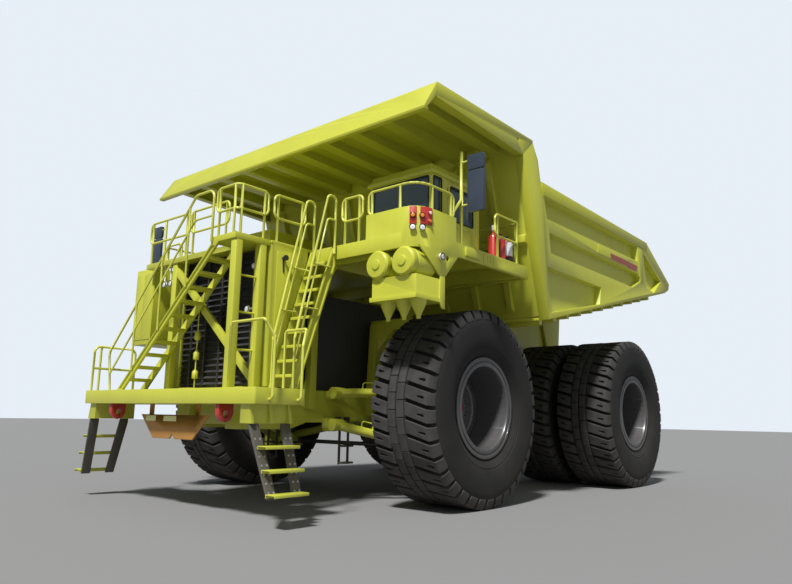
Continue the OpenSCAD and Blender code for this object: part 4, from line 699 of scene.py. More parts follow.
@dataclass
class Tyre:
    """A tyre with two ribs in the middle of its tread and slanted lugs on both shoulders.

    Attributes:
        middle: Middle of the tyre.
        radius: Radius over the lugs.
        width: Width at the bulge.
        sidewall: Sidewall from the bead outwards, as (distance in from the bulge, radius).
        shoulder: Edge of the grooves' floor, as (distance in from the bulge, drop under the floor).
        lugs: Lugs round each shoulder.
        depth: Depth of the grooves.
        gap: Width of a groove.
        slant: Slant of the lugs from the axle's direction, in degrees.
        knee: Distance from the middle where the slant eases.
        eased: Share of the slant that is left from there outwards.
        lug_outline: Outer part of a lug's cross-section, as (distance in from the bulge, drop
            under its top).
        chamfer: Width of the slope at a lug's inner end.
        sunk: How far lugs and ribs reach under the grooves' floor.
        shift: Place of the groove between the two ribs, from the middle.
        rib: Width of a rib.
        rib_slot: Half the width of the groove between the two ribs.
        rib_clear: Distance from that groove's middle, past a rib's width, to where the lugs start.
        rib_cut: Width of the cross grooves that part a rib into blocks.
        rib_stagger: How far the second rib's blocks are set off, in pitches.
        rib_edge: Slope at a rib's edge, as (draft of its flank, width of the slope, drop).
        slot_ends: Distances from the middle of a lug's slot's inner end and of its round end.
        slot_widths: Half the width of the slot at its inner end, and at its round end.
        slot_depth: Depth of the slot.
        slot_over: How far the cutter stands out over the lug.
        round_edges: Width of the rounded edges of a rib's blocks and of a lug.
        smooth: Angle in degrees under which edges are shaded smooth.
    """

    middle: Vector
    radius: float = 1.770
    width: float = 1.380
    sidewall: Sequence[Pair] = (
        (0.150, 0.800), (0.150, 0.890), (0.140, 0.905), (0.118, 0.935), (0.075, 1.000),
        (0.040, 1.060), (0.042, 1.085), (0.030, 1.095), (0.012, 1.160), (0.000, 1.250),
        (0.000, 1.330), (0.004, 1.430), (0.010, 1.500), (0.024, 1.560), (0.042, 1.595))
    shoulder: Sequence[Pair] = ((0.105, 0.028), (0.165, 0.000))
    lugs: int = 38
    depth: float = 0.080
    gap: float = 0.072
    slant: float = 20.0
    knee: float = 0.40
    eased: float = 0.55
    lug_outline: Sequence[Pair] = (
        (0.098, 0.000), (0.086, 0.010), (0.050, 0.085), (0.026, 0.165), (0.040, 0.200),
        (0.080, 0.130), (0.140, 0.100))
    chamfer: float = 0.010
    sunk: float = 0.010
    shift: float = -0.060
    rib: float = 0.165
    rib_slot: float = 0.011
    rib_clear: float = 0.030
    rib_cut: float = 0.013
    rib_stagger: float = 0.31
    rib_edge: Point = (0.004, 0.012, 0.008)
    slot_ends: Pair = (0.395, 0.520)
    slot_widths: Pair = (0.009, 0.024)
    slot_depth: float = 0.050
    slot_over: float = 0.030
    round_edges: Pair = (0.005, 0.008)
    smooth: float = 30.0

    @property
    def pitch(self) -> float:
        """Distance round the tread from one lug to the next."""
        return math.tau * self.radius / self.lugs

    def carcass(self, name: str) -> bpy.types.Object:
        """Spins the sidewalls and the floor of the tread's grooves.

        Args:
            name: Name of the piece.

        Returns:
            The carcass.
        """
        bulge, floor = self.width / 2, self.radius - self.depth
        left = [(bulge - inwards, radius) for inwards, radius in self.sidewall]
        left += [(bulge - inwards, floor - drop) for inwards, drop in self.shoulder]
        right = [(-s, r) for s, r in reversed(left)]
        return spun(name, left + right, self.middle, steps=3 * self.lugs)

    def rib_block(self, k: int) -> bpy.types.Object:
        """Makes one block of a middle rib, as long as a pitch less its narrow cross groove.

        Args:
            k: 0 for the rib at lower X, 1 for the other.

        Returns:
            The block, at the top of the tyre.
        """
        top, floor = self.radius, self.radius - self.depth - self.sunk
        draft, slope, drop = self.rib_edge
        a = self.shift + (self.rib_slot if k else -self.rib_slot - self.rib)
        b = a + self.rib
        length = self.pitch - self.rib_cut
        section = [(a, floor), (a + draft, top - drop), (a + slope, top), (b - slope, top),
                   (b - draft, top - drop), (b, floor)]
        start = k * self.rib_stagger * self.pitch - length / 2
        block = plate(f"rib_{k}", [self.middle + Vector((x, start, z)) for x, z in section],
                      Vector((0.0, length, 0.0)))
        self.wrap(block)
        return softened_edges(block, self.round_edges[0], segments=1)

    def slanted(self, s: float, side: int) -> float:
        """How far the slant carries a lug round the tyre.

        Args:
            s: Distance from the middle.
            side: 1 for the shoulder at higher X, -1 for the other.

        Returns:
            The Y value at that distance, counted from the knee.
        """
        left = 1.0 if s < self.knee else self.eased
        return -side * math.tan(math.radians(self.slant)) * (s - self.knee) * left

    def lug(self, side: int) -> bpy.types.Object:
        """Draws one lug's cross-section over the shoulder and extrudes it round the tyre.

        Args:
            side: 1 for the shoulder at higher X, -1 for the other.

        Returns:
            The lug, at the top of the tyre.
        """
        bulge, top, floor = self.width / 2, self.radius, self.radius - self.depth
        inner = abs(self.shift + side * (self.rib + self.rib_clear))
        section = [(inner, floor - self.sunk), (inner, top - self.chamfer),
                   (inner + self.chamfer, top)]
        section += [(bulge - inwards, top - drop) for inwards, drop in self.lug_outline]
        length = self.pitch - self.gap
        outline = [self.middle + Vector((side * s, self.slanted(s, side) - length / 2, z))
                   for s, z in section]
        lug = plate(f"lug_{side}", outline, Vector((0.0, length, 0.0)))
        self.cut_slot(lug, side)
        self.wrap(lug)
        return softened_edges(lug, self.round_edges[1], segments=1)

    def cut_slot(self, lug: bpy.types.Object, side: int) -> None:
        """Cuts the tapered slot, with one round end, into the outer half of a lug.

        Args:
            lug: The straight lug at the top of the tyre.
            side: 1 for the shoulder at higher X, -1 for the other.
        """
        (near, far), (narrow, wide) = self.slot_ends, self.slot_widths
        turns = [math.radians(a) for a in (-90, -45, 0, 45, 90)]
        round_end = [(far + wide * math.cos(a), wide * math.sin(a)) for a in turns]
        floor = self.radius - self.slot_depth
        outline = [self.middle + Vector((side * s, y + self.slanted(s, side), floor))
                   for s, y in ((near, -narrow), *round_end, (near, narrow))]
        cutter = plate("slot_cutter", outline, Vector((0.0, 0.0, self.slot_depth + self.slot_over)))
        pick(lug)
        cut = lug.modifiers.new("slot", "BOOLEAN")
        cut.operation = "DIFFERENCE"
        cut.object = cutter
        bpy.ops.object.modifier_apply(modifier=cut.name)
        bpy.data.objects.remove(cutter)

    def wrap(self, piece: bpy.types.Object) -> None:
        """Lays a straight block at the top of the tyre along its round."""
        for corner in piece.data.vertices:
            place = corner.co - self.middle
            turn = place.y / self.radius
            way = Vector((0.0, math.sin(turn), math.cos(turn)))
            corner.co = self.middle + Vector((place.x, 0.0, 0.0)) + way * place.z

    def tread(self, name: str) -> bpy.types.Object:
        """Builds every lug and rib block as one mesh.

        Args:
            name: Name of the piece.

        Returns:
            The tread.
        """
        parts: list[bpy.types.Object] = []
        # Each block with how far it is set off round the tyre, in pitches
        for block, phase in ((self.lug(1), 0.0), (self.lug(-1), 0.5),
                             (self.rib_block(0), 0.25), (self.rib_block(1), 0.0)):
            for i in range(self.lugs):
                parts.append(turned_copy(block, math.tau / self.lugs * (i + phase), self.middle))
            bpy.data.objects.remove(block)
        return joined(name, parts)


@dataclass
class Wheel:
    """One wheel position: which body it is on and where its tyres stand.

    Attributes:
        body: Body that the wheel turns with.
        node: Node of its tyres.
        middles: Middle of each tyre.
    """

    body: str
    node: str
    middles: Sequence[Vector]

    def dress(self, pattern: bpy.types.Object, word: str, finish: Finish, smooth: float) -> None:
        """Copies a finished part of a tyre to each place of this wheel.

        Args:
            pattern: The part, on a tyre whose middle is at the origin.
            word: Last word of the copies' names.
            finish: Finish of the copies.
            smooth: Angle in degrees under which edges are shaded smooth.
        """
        names = [f"{self.node}_{word}_{k}" for k in range(len(self.middles))]
        if len(names) == 1:
            names = [f"{self.node}_{word}"]
        for name, middle in zip(names, self.middles):
            pick(pattern)
            bpy.ops.object.duplicate(linked=False)
            copy = bpy.context.active_object
            copy.name = name
            copy.data.transform(Matrix.Translation(middle))
            dressed(copy, finish, self.body, self.node, smooth=smooth)


@dataclass
class RunningGear:
    """The six tyres.

    Attributes:
        axle_z: Height of the axles.
        wheelbase: Distance between the axles.
        front_x: Middle of a front tyre from the centre line.
        rear_x: Middles of the rear tyres from the centre line.
    """

    axle_z: float = 1.770
    wheelbase: float = 6.280
    front_x: float = 3.030
    rear_x: Sequence[float] = (1.750, 3.300)

    def front_middle(self, side: Side) -> Vector:
        """Middle of a front tyre."""
        return at(side.value * self.front_x, 0.0, self.axle_z)

    def rear_middles(self, side: Side) -> list[Vector]:
        """Middles of a pair of rear tyres, the inner one first."""
        return [at(side.value * x, self.wheelbase, self.axle_z) for x in self.rear_x]

    def wheels(self) -> list[Wheel]:
        """Returns the four wheel positions."""
        found = []
        for side in Side:
            found += [Wheel(f"wheel_front_{side.word}", f"tyre_front_{side.word}",
                            [self.front_middle(side)]),
                      Wheel(f"wheels_rear_{side.word}", f"tyres_rear_{side.word}",
                            self.rear_middles(side))]
        return found

    def dress(self) -> None:
        """Builds one tyre and copies it to every wheel."""
        tyre = Tyre(Vector((0.0, 0.0, 0.0)))
        for word, pattern, finish in (("carcass", tyre.carcass("carcass_pattern"), TYRE),
                                      ("tread", tyre.tread("tread_pattern"), TREAD)):
            for wheel in self.wheels():
                wheel.dress(pattern, word, finish, tyre.smooth)
            bpy.data.objects.remove(pattern)


# TRIM AND FITTINGS


@dataclass(frozen=True)
class Spot:
    """A round place on a surface.

    Attributes:
        middle: Middle of the place, in the row's frame.
        axis: Way that the surface faces.
    """

    middle: Vector
    axis: Vector

    def out(self, by: float) -> Vector:
        """Point over the middle, this far out from the surface."""
        return self.middle + self.axis.normalized() * by

    def turn(self) -> tuple[float, float, float]:
        """Euler turn that brings the Z axis onto the spot's axis."""
        return tuple(self.axis.to_track_quat("Z", "Y").to_euler())

    def disc(self, name: str, radius: float, depth: float, over: float = 0.0,
             corners: int = 32) -> bpy.types.Object:
        """Lays a disc on the spot.

        Args:
            name: Name of the piece.
            radius: Radius of the disc.
            depth: Thickness of the disc.
            over: Height of its foot over the surface.
            corners: Corners of its outline, 6 for a nut.

        Returns:
            The disc with its place in its mesh.
        """
        deselect()
        bpy.ops.mesh.primitive_cylinder_add(
            vertices=corners, radius=radius, depth=depth, location=self.out(over + depth / 2),
            rotation=self.turn())
        piece = bpy.context.active_object
        piece.name = name
        return settle(piece)

    def ring(self, name: str, radius: float, thick: float, over: float = 0.0) -> bpy.types.Object:
        """Lays a round ring on the spot.

        Args:
            name: Name of the piece.
            radius: Radius of the ring's middle line.
            thick: Radius of its cross-section.
            over: Height of its middle line over the surface.

        Returns:
            The ring with its place in its mesh.
        """
        deselect()
        bpy.ops.mesh.primitive_torus_add(
            major_radius=radius, minor_radius=thick, major_segments=36, minor_segments=8,
            location=self.out(over), rotation=self.turn())
        piece = bpy.context.active_object
        piece.name = name
        return settle(piece)


@dataclass(frozen=True)
class NutRow:
    """A ring of nuts round a wheel's axis.

    Attributes:
        radius: Radius of the row.
        reach: Distance of the nuts' seat outwards from the tyre's middle.
        count: Nuts in the row.
        size: Radius of a nut over its corners.
        tall: Height of a nut.
    """

    radius: float
    reach: float
    count: int
    size: float
    tall: float = 0.030


@dataclass
class RimTrim:
    """Wheel nuts, and the red cap in each front hub.

    Attributes:
        gear: The running gear, for the wheels' places.
        front: Rows of nuts on a front wheel.
        rear: Rows of nuts on the outer rear wheel.
        nut_edge: Width of a nut's rounded edges.
        cap_reach: Distance of the cap's seat outwards from the tyre's middle.
        cap_radius: Radius of the cap.
        cap_depth: Thickness of the cap.
        cap_edge: Width of the cap's rounded edges.
    """

    gear: RunningGear
    front: Sequence[NutRow] = (
        NutRow(0.615, -0.065, 44, 0.021), NutRow(0.500, -0.090, 36, 0.015, 0.018),
        NutRow(0.230, 0.010, 20, 0.018))
    rear: Sequence[NutRow] = (
        NutRow(0.615, -0.225, 44, 0.021), NutRow(0.500, -0.250, 36, 0.015, 0.018),
        NutRow(0.280, -0.090, 24, 0.018))
    nut_edge: float = 0.003
    cap_reach: float = 0.040
    cap_radius: float = 0.095
    cap_depth: float = 0.016
    cap_edge: float = 0.005

    def row(self, name: str, row: NutRow, middle: Vector, side: Side) -> bpy.types.Object:
        """Makes one ring of nuts.

        Args:
            name: Name of the piece.
            row: The ring's sizes.
            middle: Middle of the tyre.
            side: Side of the truck.

        Returns:
            The nuts as one mesh.
        """
        seat = middle + side.out * row.reach + Vector((0.0, 0.0, row.radius))
        first = Spot(seat, side.out).disc(name, row.size, row.tall, SEATED, corners=6)
        softened_edges(first, self.nut_edge, segments=1)
        turns = [turned_copy(first, math.tau * i / row.count, middle) for i in range(1, row.count)]
        return joined(name, [first, *turns])

    def dress(self) -> None:
        """Adds the nuts and caps to the four outer wheels."""
        for side in Side:
            word, middle = side.word, self.gear.front_middle(side)
            for axle, body, rows, wheel in (
                    ("front", f"wheel_front_{word}", self.front, middle),
                    ("rear", f"wheels_rear_{word}", self.rear, self.gear.rear_middles(side)[1])):
                nuts = [self.row(f"nuts_{axle}_{word}_{k}", row, wheel, side)
                        for k, row in enumerate(rows)]
                dressed(joined(f"wheel_nuts_{axle}_{word}", nuts), RIM, body)
            cap = Spot(middle + side.out * self.cap_reach, side.out).disc(
                f"hub_cap_{word}", self.cap_radius, self.cap_depth, SEATED)
            dressed(softened_edges(cap, self.cap_edge), CAP, f"wheel_front_{word}")


@dataclass(frozen=True)
class Lens:
    """A small round lens over a surface.

    Attributes:
        radius: Radius of the lens.
        depth: Thickness of the lens.
        over: Height of its foot over the surface.
        edge: Width of its rounded edge.
    """

    radius: float
    depth: float
    over: float
    edge: float = 0.005

    def on(self, spot: Spot, name: str) -> bpy.types.Object:
        """Lays the lens on a spot under this name."""
        return softened_edges(spot.disc(name, self.radius, self.depth, self.over), self.edge)


@dataclass
class LampTrim:
    """Lamp rims, the coloured lenses of the corner's lamps and the reflectors under the bumper.

    Attributes:
        corner: Middle of the deck's round corner, as (x, y) from the front axle.
        reach: Distance from that middle to the fascia's flats.
        deck: Height of the deck.
        columns: Angles in degrees of the corner's two columns with a work lamp.
        end_column: Angle in degrees of its column without one.
        work_height: Height of the corner's work lamps over the deck.
        work_radius: Radius of those lamps.
        signal_height: Height over the deck of the amber lamps above them.
        signal_rim: Rim of an amber lamp, as (radius, radius of its cross-section, height).
        signal: Lens of an amber lamp.
        end_signal_height: Height over the deck of the amber lens in the end column.
        end_signal: That lens.
        marker_height: Height over the deck of the white lens in the end column.
        marker: That lens.
        side_lamp: Place of the lamp under the deck's side, for the left side.
        side_radius: Radius of that lamp.
        front_lamps: The other lamps, which face forward, as (x, y, z, radius).
        rim_lap: How far a lamp's rim lies inside its edge.
        rim_thick: Radius of a lamp rim's cross-section.
        lamp_depth: Height of a lamp's face over its seat.
        strip_y: Place of the reflectors' seat.
        strips: Ends of each reflector across the truck.
        strip_heights: Lower and upper edge of the reflectors.
        strip_depth: Thickness of a reflector.
        strip_edge: Width of its rounded edges.
    """

    corner: Pair = (3.490, -1.938)
    reach: float = 0.3542
    deck: float = 4.550
    columns: Sequence[float] = (-56.25, -33.75)
    end_column: float = -11.25
    work_height: float = 0.064
    work_radius: float = 0.052
    signal_height: float = 0.265
    signal_rim: Point = (0.046, 0.006, 0.042)
    signal: Lens = Lens(0.034, 0.012, 0.048)
    end_signal_height: float = 0.190
    end_signal: Lens = Lens(0.027, 0.010, 0.040)
    marker_height: float = 0.330
    marker: Lens = Lens(0.028, 0.010, 0.040, 0.004)
    side_lamp: Point = (3.850, -1.714, 4.200)
    side_radius: float = 0.060
    front_lamps: Sequence[tuple[float, float, float, float]] = (
        (0.505, -3.344, 4.765, 0.062), (0.985, -3.354, 3.360, 0.058), (1.110, -3.354, 4.100, 0.058),
        (-1.535, -3.344, 4.095, 0.058), (-1.750, -3.344, 4.095, 0.058))
    rim_lap: float = 0.002
    rim_thick: float = 0.007
    lamp_depth: float = 0.060
    strip_y: float = -4.060
    strips: Sequence[Pair] = ((-0.860, -0.530), (-0.280, 0.110))
    strip_heights: Pair = (1.440, 1.532)
    strip_depth: float = 0.006
    strip_edge: float = 0.002

    def on_corner(self, angle: float, z: float) -> Spot:
        """Spot on the fascia's round corner at an angle in degrees and a height over the deck."""
        turn = math.radians(angle)
        way = Vector((math.cos(turn), math.sin(turn), 0.0))
        return Spot(at(self.corner[0], self.corner[1], self.deck + z) + way * self.reach, way)

    def lamps(self) -> list[tuple[Spot, float]]:
        """Returns the foot and radius of each lamp with a plain rim."""
        x, y, z = self.side_lamp
        ahead = Vector((0.0, -1.0, 0.0))
        found = [(self.on_corner(a, self.work_height), self.work_radius) for a in self.columns]
        found += [(Spot(at(side.value * x, y, z), side.out), self.side_radius) for side in Side]
        found += [(Spot(at(x, y, z), ahead), radius) for x, y, z, radius in self.front_lamps]
        return found

    def dress(self) -> None:
        """Adds the rims, lenses and reflectors."""
        signals = [self.on_corner(a, self.signal_height) for a in self.columns]
        radius, thick, over = self.signal_rim
        rims = [spot.ring("lamp_rim", r - self.rim_lap, self.rim_thick, self.lamp_depth)
                for spot, r in self.lamps()]
        rims += [spot.ring("lamp_rim", radius, thick, over) for spot in signals]
        dressed(joined("lamp_rims", rims), SEAL, "chassis")
        low_spot = self.on_corner(self.end_column, self.end_signal_height)
        high_spot = self.on_corner(self.end_column, self.marker_height)
        amber = [self.signal.on(spot, "amber") for spot in signals]
        amber.append(self.end_signal.on(low_spot, "amber"))
        dressed(joined("amber_lenses", amber), AMBER, "chassis")
        dressed(self.marker.on(high_spot, "white_lens"), LENS, "chassis")
        low, high = self.strip_heights
        strips = [plate("reflector", [at(x, self.strip_y, z) for x, z in (
            (a, low), (b, low), (b, high), (a, high))], Vector((0.0, -self.strip_depth, 0.0)),
            self.strip_edge) for a, b in self.strips]
        dressed(joined("reflectors", strips), REFLECTOR, "chassis")


@dataclass
class BottleTrim:
    """White sleeve and nozzle, black feet and valves of the three extinguishers.

    Attributes:
        x: Distance of the row from the centre line.
        rows: Y of the three bottles, from the front one to the rear one.
        foot_z: Height where the feet start.
        foot_radius: Radius of a foot.
        foot_heights: Height of each bottle's foot.
        sleeve_z: Height where the rear bottle's white sleeve starts.
        sleeve: Radius and height of that sleeve.
        nozzle_z: Height where the front bottle's nozzle starts.
        nozzle: Radius and height of the nozzle.
        valve_z: Height where the other bottles' valves start.
        valve: Radius and height of a valve.
        edge: Width of the rounded edges.
        wide_corners: Corners of the outline of feet and sleeve.
        slim_corners: Corners of the outline of nozzle and valves.
    """

    x: float = 3.643
    rows: Point = (0.260, 0.510, 0.760)
    foot_z: float = 4.556
    foot_radius: float = 0.118
    foot_heights: Point = (0.030, 0.030, 0.130)
    sleeve_z: float = 4.705
    sleeve: Pair = (0.107, 0.270)
    nozzle_z: float = 5.120
    nozzle: Pair = (0.030, 0.110)
    valve_z: float = 5.070
    valve: Pair = (0.034, 0.050)
    edge: float = 0.006
    wide_corners: int = 48
    slim_corners: int = 24

    def upright(self, name: str, y: float, z: float, size: Pair, corners: int) -> bpy.types.Object:
        """Stands a round piece in the row.

        Args:
            name: Name of the piece.
            y: Its place along the row.
            z: Height of its foot.
            size: Its radius and height.
            corners: Corners of its outline.

        Returns:
            The piece.
        """
        return Spot(at(self.x, y, z), Vector((0.0, 0.0, 1.0))).disc(name, *size, corners=corners)

    def dress(self) -> None:
        """Adds the white pieces and the black ones."""
        wide, slim = self.wide_corners, self.slim_corners
        white = [self.upright("bottle_sleeve", self.rows[2], self.sleeve_z, self.sleeve, wide),
                 self.upright("bottle_nozzle", self.rows[0], self.nozzle_z, self.nozzle, slim)]
        dressed(softened_edges(joined("bottle_white", white), self.edge), BOTTLE, "chassis")
        black = [self.upright("bottle_foot", y, self.foot_z, (self.foot_radius, tall), wide)
                 for y, tall in zip(self.rows, self.foot_heights)]
        black += [self.upright("bottle_valve", y, self.valve_z, self.valve, slim)
                  for y in self.rows[1:]]
        dressed(softened_edges(joined("bottle_feet", black), self.edge), SEAL, "chassis")


@dataclass
class KnobTrim:
    """The small dark knob on each side of the hood, with its strap.

    Attributes:
        place: Seat of the left knob on the hood's side.
        stem: Radius and length of the knob's stem.
        head: Radius and thickness of its head.
        head_over: Height of the head's foot over the hood.
        strap: Outline of the strap, as (y, z) from the knob.
        strap_depth: Thickness of the strap.
    """

    place: Point = (1.398, -3.000, 4.270)
    stem: Pair = (0.030, 0.075)
    head: Pair = (0.050, 0.028)
    head_over: float = 0.060
    strap: Sequence[Pair] = ((-0.018, -0.020), (0.018, -0.020), (0.030, -0.250), (0.004, -0.250))
    strap_depth: float = 0.010

    def dress(self) -> None:
        """Adds both knobs."""
        x, y, z = self.place
        made = []
        for side in Side:
            spot = Spot(at(side.value * x, y, z), side.out)
            made += [spot.disc("knob", *self.stem, SEATED),
                     spot.disc("knob_head", *self.head, self.head_over),
                     plate("knob_strap", [spot.middle + Vector((0.0, *p)) for p in self.strap],
                           side.out * self.strap_depth)]
        dressed(joined("hood_knobs", made), GRILLE, "chassis")


@dataclass
class BeltTrim:
    """Pale bolt heads down the rubber belts of the boarding ladders.

    Attributes:
        top: Distance from the centre line and height of the rows' upper end.
        foot: The same of their lower end.
        rows: Y of each belt's row at its upper and at its lower end.
        facing: Way that the left belts face, outwards and upwards.
        count: Pairs of bolts on a belt.
        first: Share of the row's length where the first pair is.
        step: Share of it from pair to pair.
        apart: Half the distance between the two bolts of a pair.
        radius: Radius of a bolt's head.
        height: Thickness of a head.
        over: Height of the head's foot over the row's line, which is in the belt's middle.
        corners: Corners of a head's outline.
    """

    top: Pair = (2.400, 1.420)
    foot: Pair = (2.760, 0.440)
    rows: Sequence[Pair] = ((-4.235, -4.135), (-3.645, -3.665))
    facing: Pair = (1.01, 0.36)
    count: int = 8
    first: float = 0.07
    step: float = 0.124
    apart: float = 0.045
    radius: float = 0.017
    height: float = 0.010
    over: float = 0.010
    corners: int = 12

    def dress(self) -> None:
        """Adds every bolt head."""
        made = []
        for side in Side:
            out = Vector((side.value * self.facing[0], 0.0, self.facing[1])).normalized()
            for top_y, foot_y in self.rows:
                top = at(side.value * self.top[0], top_y, self.top[1])
                foot = at(side.value * self.foot[0], foot_y, self.foot[1])
                for i in range(self.count):
                    middle = top.lerp(foot, self.first + self.step * i)
                    for shift in (-self.apart, self.apart):
                        spot = Spot(middle + Vector((0.0, shift, 0.0)), out)
                        made.append(spot.disc("belt_bolt", self.radius, self.height, self.over,
                                              self.corners))
        dressed(joined("belt_bolts", made), BOLT, "chassis")


@dataclass(frozen=True)
class Opening:
    """A window opening whose lower edge runs along X or along Y.

    Attributes:
        name: Name of its bead.
        corner: Lower corner, in the plane of the wall's face.
        along: How far its lower edge reaches, as (x, y).
        height: Height of the opening.
        rounded: Radius of its corners.
    """

    name: str
    corner: Point
    along: Pair
    height: float
    rounded: float = 0.040

    def bead(self, radius: float) -> bpy.types.Object:
        """Makes the bead round the opening, with this radius."""
        along, up = Vector((*self.along, 0.0)), Vector((0.0, 0.0, self.height))
        corner = at(*self.corner)
        middle = corner + along / 2
        points = [middle, corner + along, corner + along + up, corner + up, corner, middle]
        return tube(self.name, points, radius, self.rounded)


@dataclass
class WindowTrim:
    """The dark beads round the cab's windows and the door's.

    Attributes:
        bead: Radius of a bead.
        cab: Openings of the cab.
        door: Opening of the door.
    """

    bead: float = 0.013
    cab: Sequence[Opening] = (
        Opening("seal_screen", (2.090, -1.500, 5.050), (1.340, 0.0), 0.730),
        Opening("seal_quarter", (3.500, -1.440, 5.050), (0.0, 0.230), 0.730, 0.030),
        Opening("seal_right", (2.020, -1.300, 5.050), (0.0, 1.100), 0.730),
        Opening("seal_rear", (2.270, 0.050, 5.150), (0.980, 0.0), 0.630))
    door: Opening = Opening("door_seal", (3.500, -0.940, 5.080), (0.0, 0.720), 0.630)

    def dress(self) -> None:
        """Adds every bead, the door's on the door."""
        beads = [opening.bead(self.bead) for opening in self.cab]
        dressed(joined("cab_seals", beads), SEAL, "chassis")
        dressed(self.door.bead(self.bead), SEAL, "cab_door")


@dataclass
class StripeTrim:
    """The red stripe on each side of the dump body.

    Attributes:
        outer: Distance of the side's outer face from the centre line.
        pad: Height of the pad that the stripe's front part lies on.
        front: Corners of the part on the pad, as (y, z).
        rear: Corners of the part behind the pad.
        depth: Thickness of the stripe.
        sunk: How far it reaches into the side.
    """

    outer: float = 4.010
    pad: float = 0.014
    front: Sequence[Pair] = ((4.886, 5.538), (6.000, 5.536), (6.000, 5.402), (4.900, 5.402))
    rear: Sequence[Pair] = ((6.000, 5.536), (6.632, 5.535), (6.539, 5.374), (6.000, 5.376))
    depth: float = 0.003
    sunk: float = 0.001

    def dress(self) -> None:
        """Adds both stripes, each in a part on the pad and a part behind it."""
        made = []
        for side in Side:
            for over, corners in ((self.pad, self.front), (0.0, self.rear)):
                x = side.value * (self.outer + over - self.sunk)
                outline = [at(x, y, z) for y, z in corners]
                made.append(plate("stripe", outline, side.out * self.depth))
        dressed(joined("side_stripes", made), STRIPE, "dump_body")


# THE SET


@dataclass(frozen=True)
class Sun:
    """A far lamp.

    Attributes:
        name: Name of the lamp.
        aim: Way that its light goes.
        strength: Strength of the light, in watts to a square metre.
        spread: Angle of its disc, in degrees, which softens the shadows.
    """

    name: str
    aim: Point
    strength: float
    spread: float


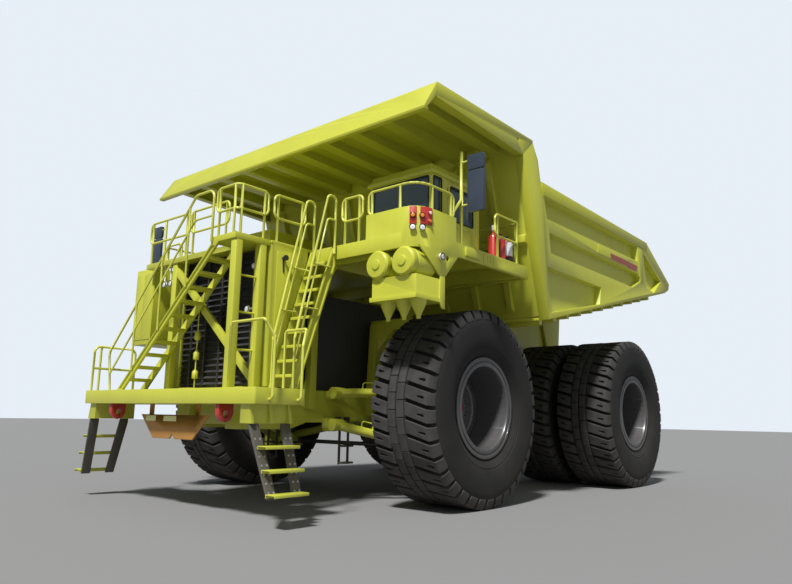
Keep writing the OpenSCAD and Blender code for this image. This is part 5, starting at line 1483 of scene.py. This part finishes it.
@dataclass
class Studio:
    """Camera, floor and light.

    Attributes:
        eye: Place of the camera.
        yaw: Turn of the camera about the vertical, in degrees, from looking along +Y.
        pitch: How far it looks up, in degrees.
        roll: How far it leans, in degrees.
        lens: Focal length, in millimetres.
        sensor: Width of the sensor, in millimetres.
        far: Distance to which the camera sees, in metres.
        floor_size: Side of the floor, in metres.
        floor_colour: Linear colour of the floor.
        floor_roughness: Roughness of the floor.
        suns: The lamps.
        sky_light: Linear colour of the light from the sky.
        sky_strength: Strength of that light.
        sky_seen: Linear colour of the sky as the camera sees it.
    """

    eye: Point = (10.407, -12.782, 1.587)
    yaw: float = 40.539
    pitch: float = 10.409
    roll: float = 1.017
    lens: float = 30.78
    sensor: float = 36.0
    far: float = 500.0
    floor_size: float = 260.0
    floor_colour: Colour = (0.22, 0.217, 0.215)
    floor_roughness: float = 0.9
    suns: Sequence[Sun] = (Sun("key", (-0.22, 0.62, -0.95), 4.8, 6.0),
                           Sun("fill", (-0.85, 0.30, -0.45), 0.18, 60.0))
    sky_light: Colour = (0.86, 0.93, 1.0)
    sky_strength: float = 0.30
    sky_seen: Colour = (0.80, 0.86, 0.93)

    def set_camera(self) -> bpy.types.Object:
        """Places the camera at the photograph's viewing angle and makes it the scene's camera."""
        data = bpy.data.cameras.new("camera")
        data.lens = self.lens
        data.sensor_width = self.sensor
        data.clip_end = self.far
        camera = bpy.data.objects.new("camera", data)
        bpy.context.scene.collection.objects.link(camera)
        turn = (Matrix.Rotation(math.radians(self.yaw), 4, "Z")
                @ Matrix.Rotation(math.radians(90.0 + self.pitch), 4, "X")
                @ Matrix.Rotation(math.radians(self.roll), 4, "Z"))
        camera.matrix_world = Matrix.Translation(self.eye) @ turn
        bpy.context.scene.camera = camera
        return camera

    def set_floor(self) -> bpy.types.Object:
        """Lays a plain pale floor."""
        deselect()
        bpy.ops.mesh.primitive_plane_add(size=self.floor_size, location=(0.0, 0.0, 0.0))
        floor = bpy.context.active_object
        floor.name = "studio_floor"
        pale = bpy.data.materials.new("floor_pale")
        pale.use_nodes = True
        shader = pale.node_tree.nodes["Principled BSDF"]
        shader.inputs["Base Color"].default_value = (*self.floor_colour, 1.0)
        shader.inputs["Roughness"].default_value = self.floor_roughness
        floor.data.materials.append(pale)
        return floor

    def set_suns(self) -> None:
        """Sets the high lamp in front of the truck and the weak, soft one on the cab's side."""
        for sun in self.suns:
            data = bpy.data.lights.new(sun.name, "SUN")
            data.energy = sun.strength
            data.angle = math.radians(sun.spread)
            lamp = bpy.data.objects.new(sun.name, data)
            lamp.rotation_euler = Vector(sun.aim).to_track_quat("-Z", "Y").to_euler()
            bpy.context.scene.collection.objects.link(lamp)

    def set_sky(self) -> None:
        """Sets a plain sky that is paler to the camera than the light it gives."""
        world = bpy.data.worlds.new("sky")
        bpy.context.scene.world = world
        world.use_nodes = True
        nodes, link = world.node_tree.nodes, world.node_tree.links.new
        light, seen = nodes["Background"], nodes.new("ShaderNodeBackground")
        for background, colour, strength in ((light, self.sky_light, self.sky_strength),
                                             (seen, self.sky_seen, 1.0)):
            background.inputs["Color"].default_value = (*colour, 1.0)
            background.inputs["Strength"].default_value = strength
        path, mix = nodes.new("ShaderNodeLightPath"), nodes.new("ShaderNodeMixShader")
        link(path.outputs["Is Camera Ray"], mix.inputs["Fac"])
        link(light.outputs["Background"], mix.inputs[1])
        link(seen.outputs["Background"], mix.inputs[2])
        link(mix.outputs["Shader"], nodes["World Output"].inputs["Surface"])

    def build(self) -> None:
        """Sets the whole scene and its colour management."""
        bpy.context.scene.view_settings.view_transform = "Standard"
        self.set_camera()
        self.set_floor()
        self.set_suns()
        self.set_sky()


def main() -> None:
    """Builds the set and dresses each sub-assembly in turn."""
    logging.basicConfig(level=logging.INFO, format="%(name)s %(message)s")
    Studio().build()
    tyre_nodes = frozenset(n for n in frame["nodes"] if n.startswith("tyre"))
    tubes = frozenset(("handrails", "stair_rails", "bumper_rails", "headlamps"))
    SteelWork(made_elsewhere=tyre_nodes, tubes=tubes).dress()
    gear = RunningGear()
    gear.dress()
    RimTrim(gear).dress()
    for trim in (LampTrim(), BottleTrim(), KnobTrim(), BeltTrim(), WindowTrim(), StripeTrim()):
        trim.dress()


if __name__ == "__main__":
    main()
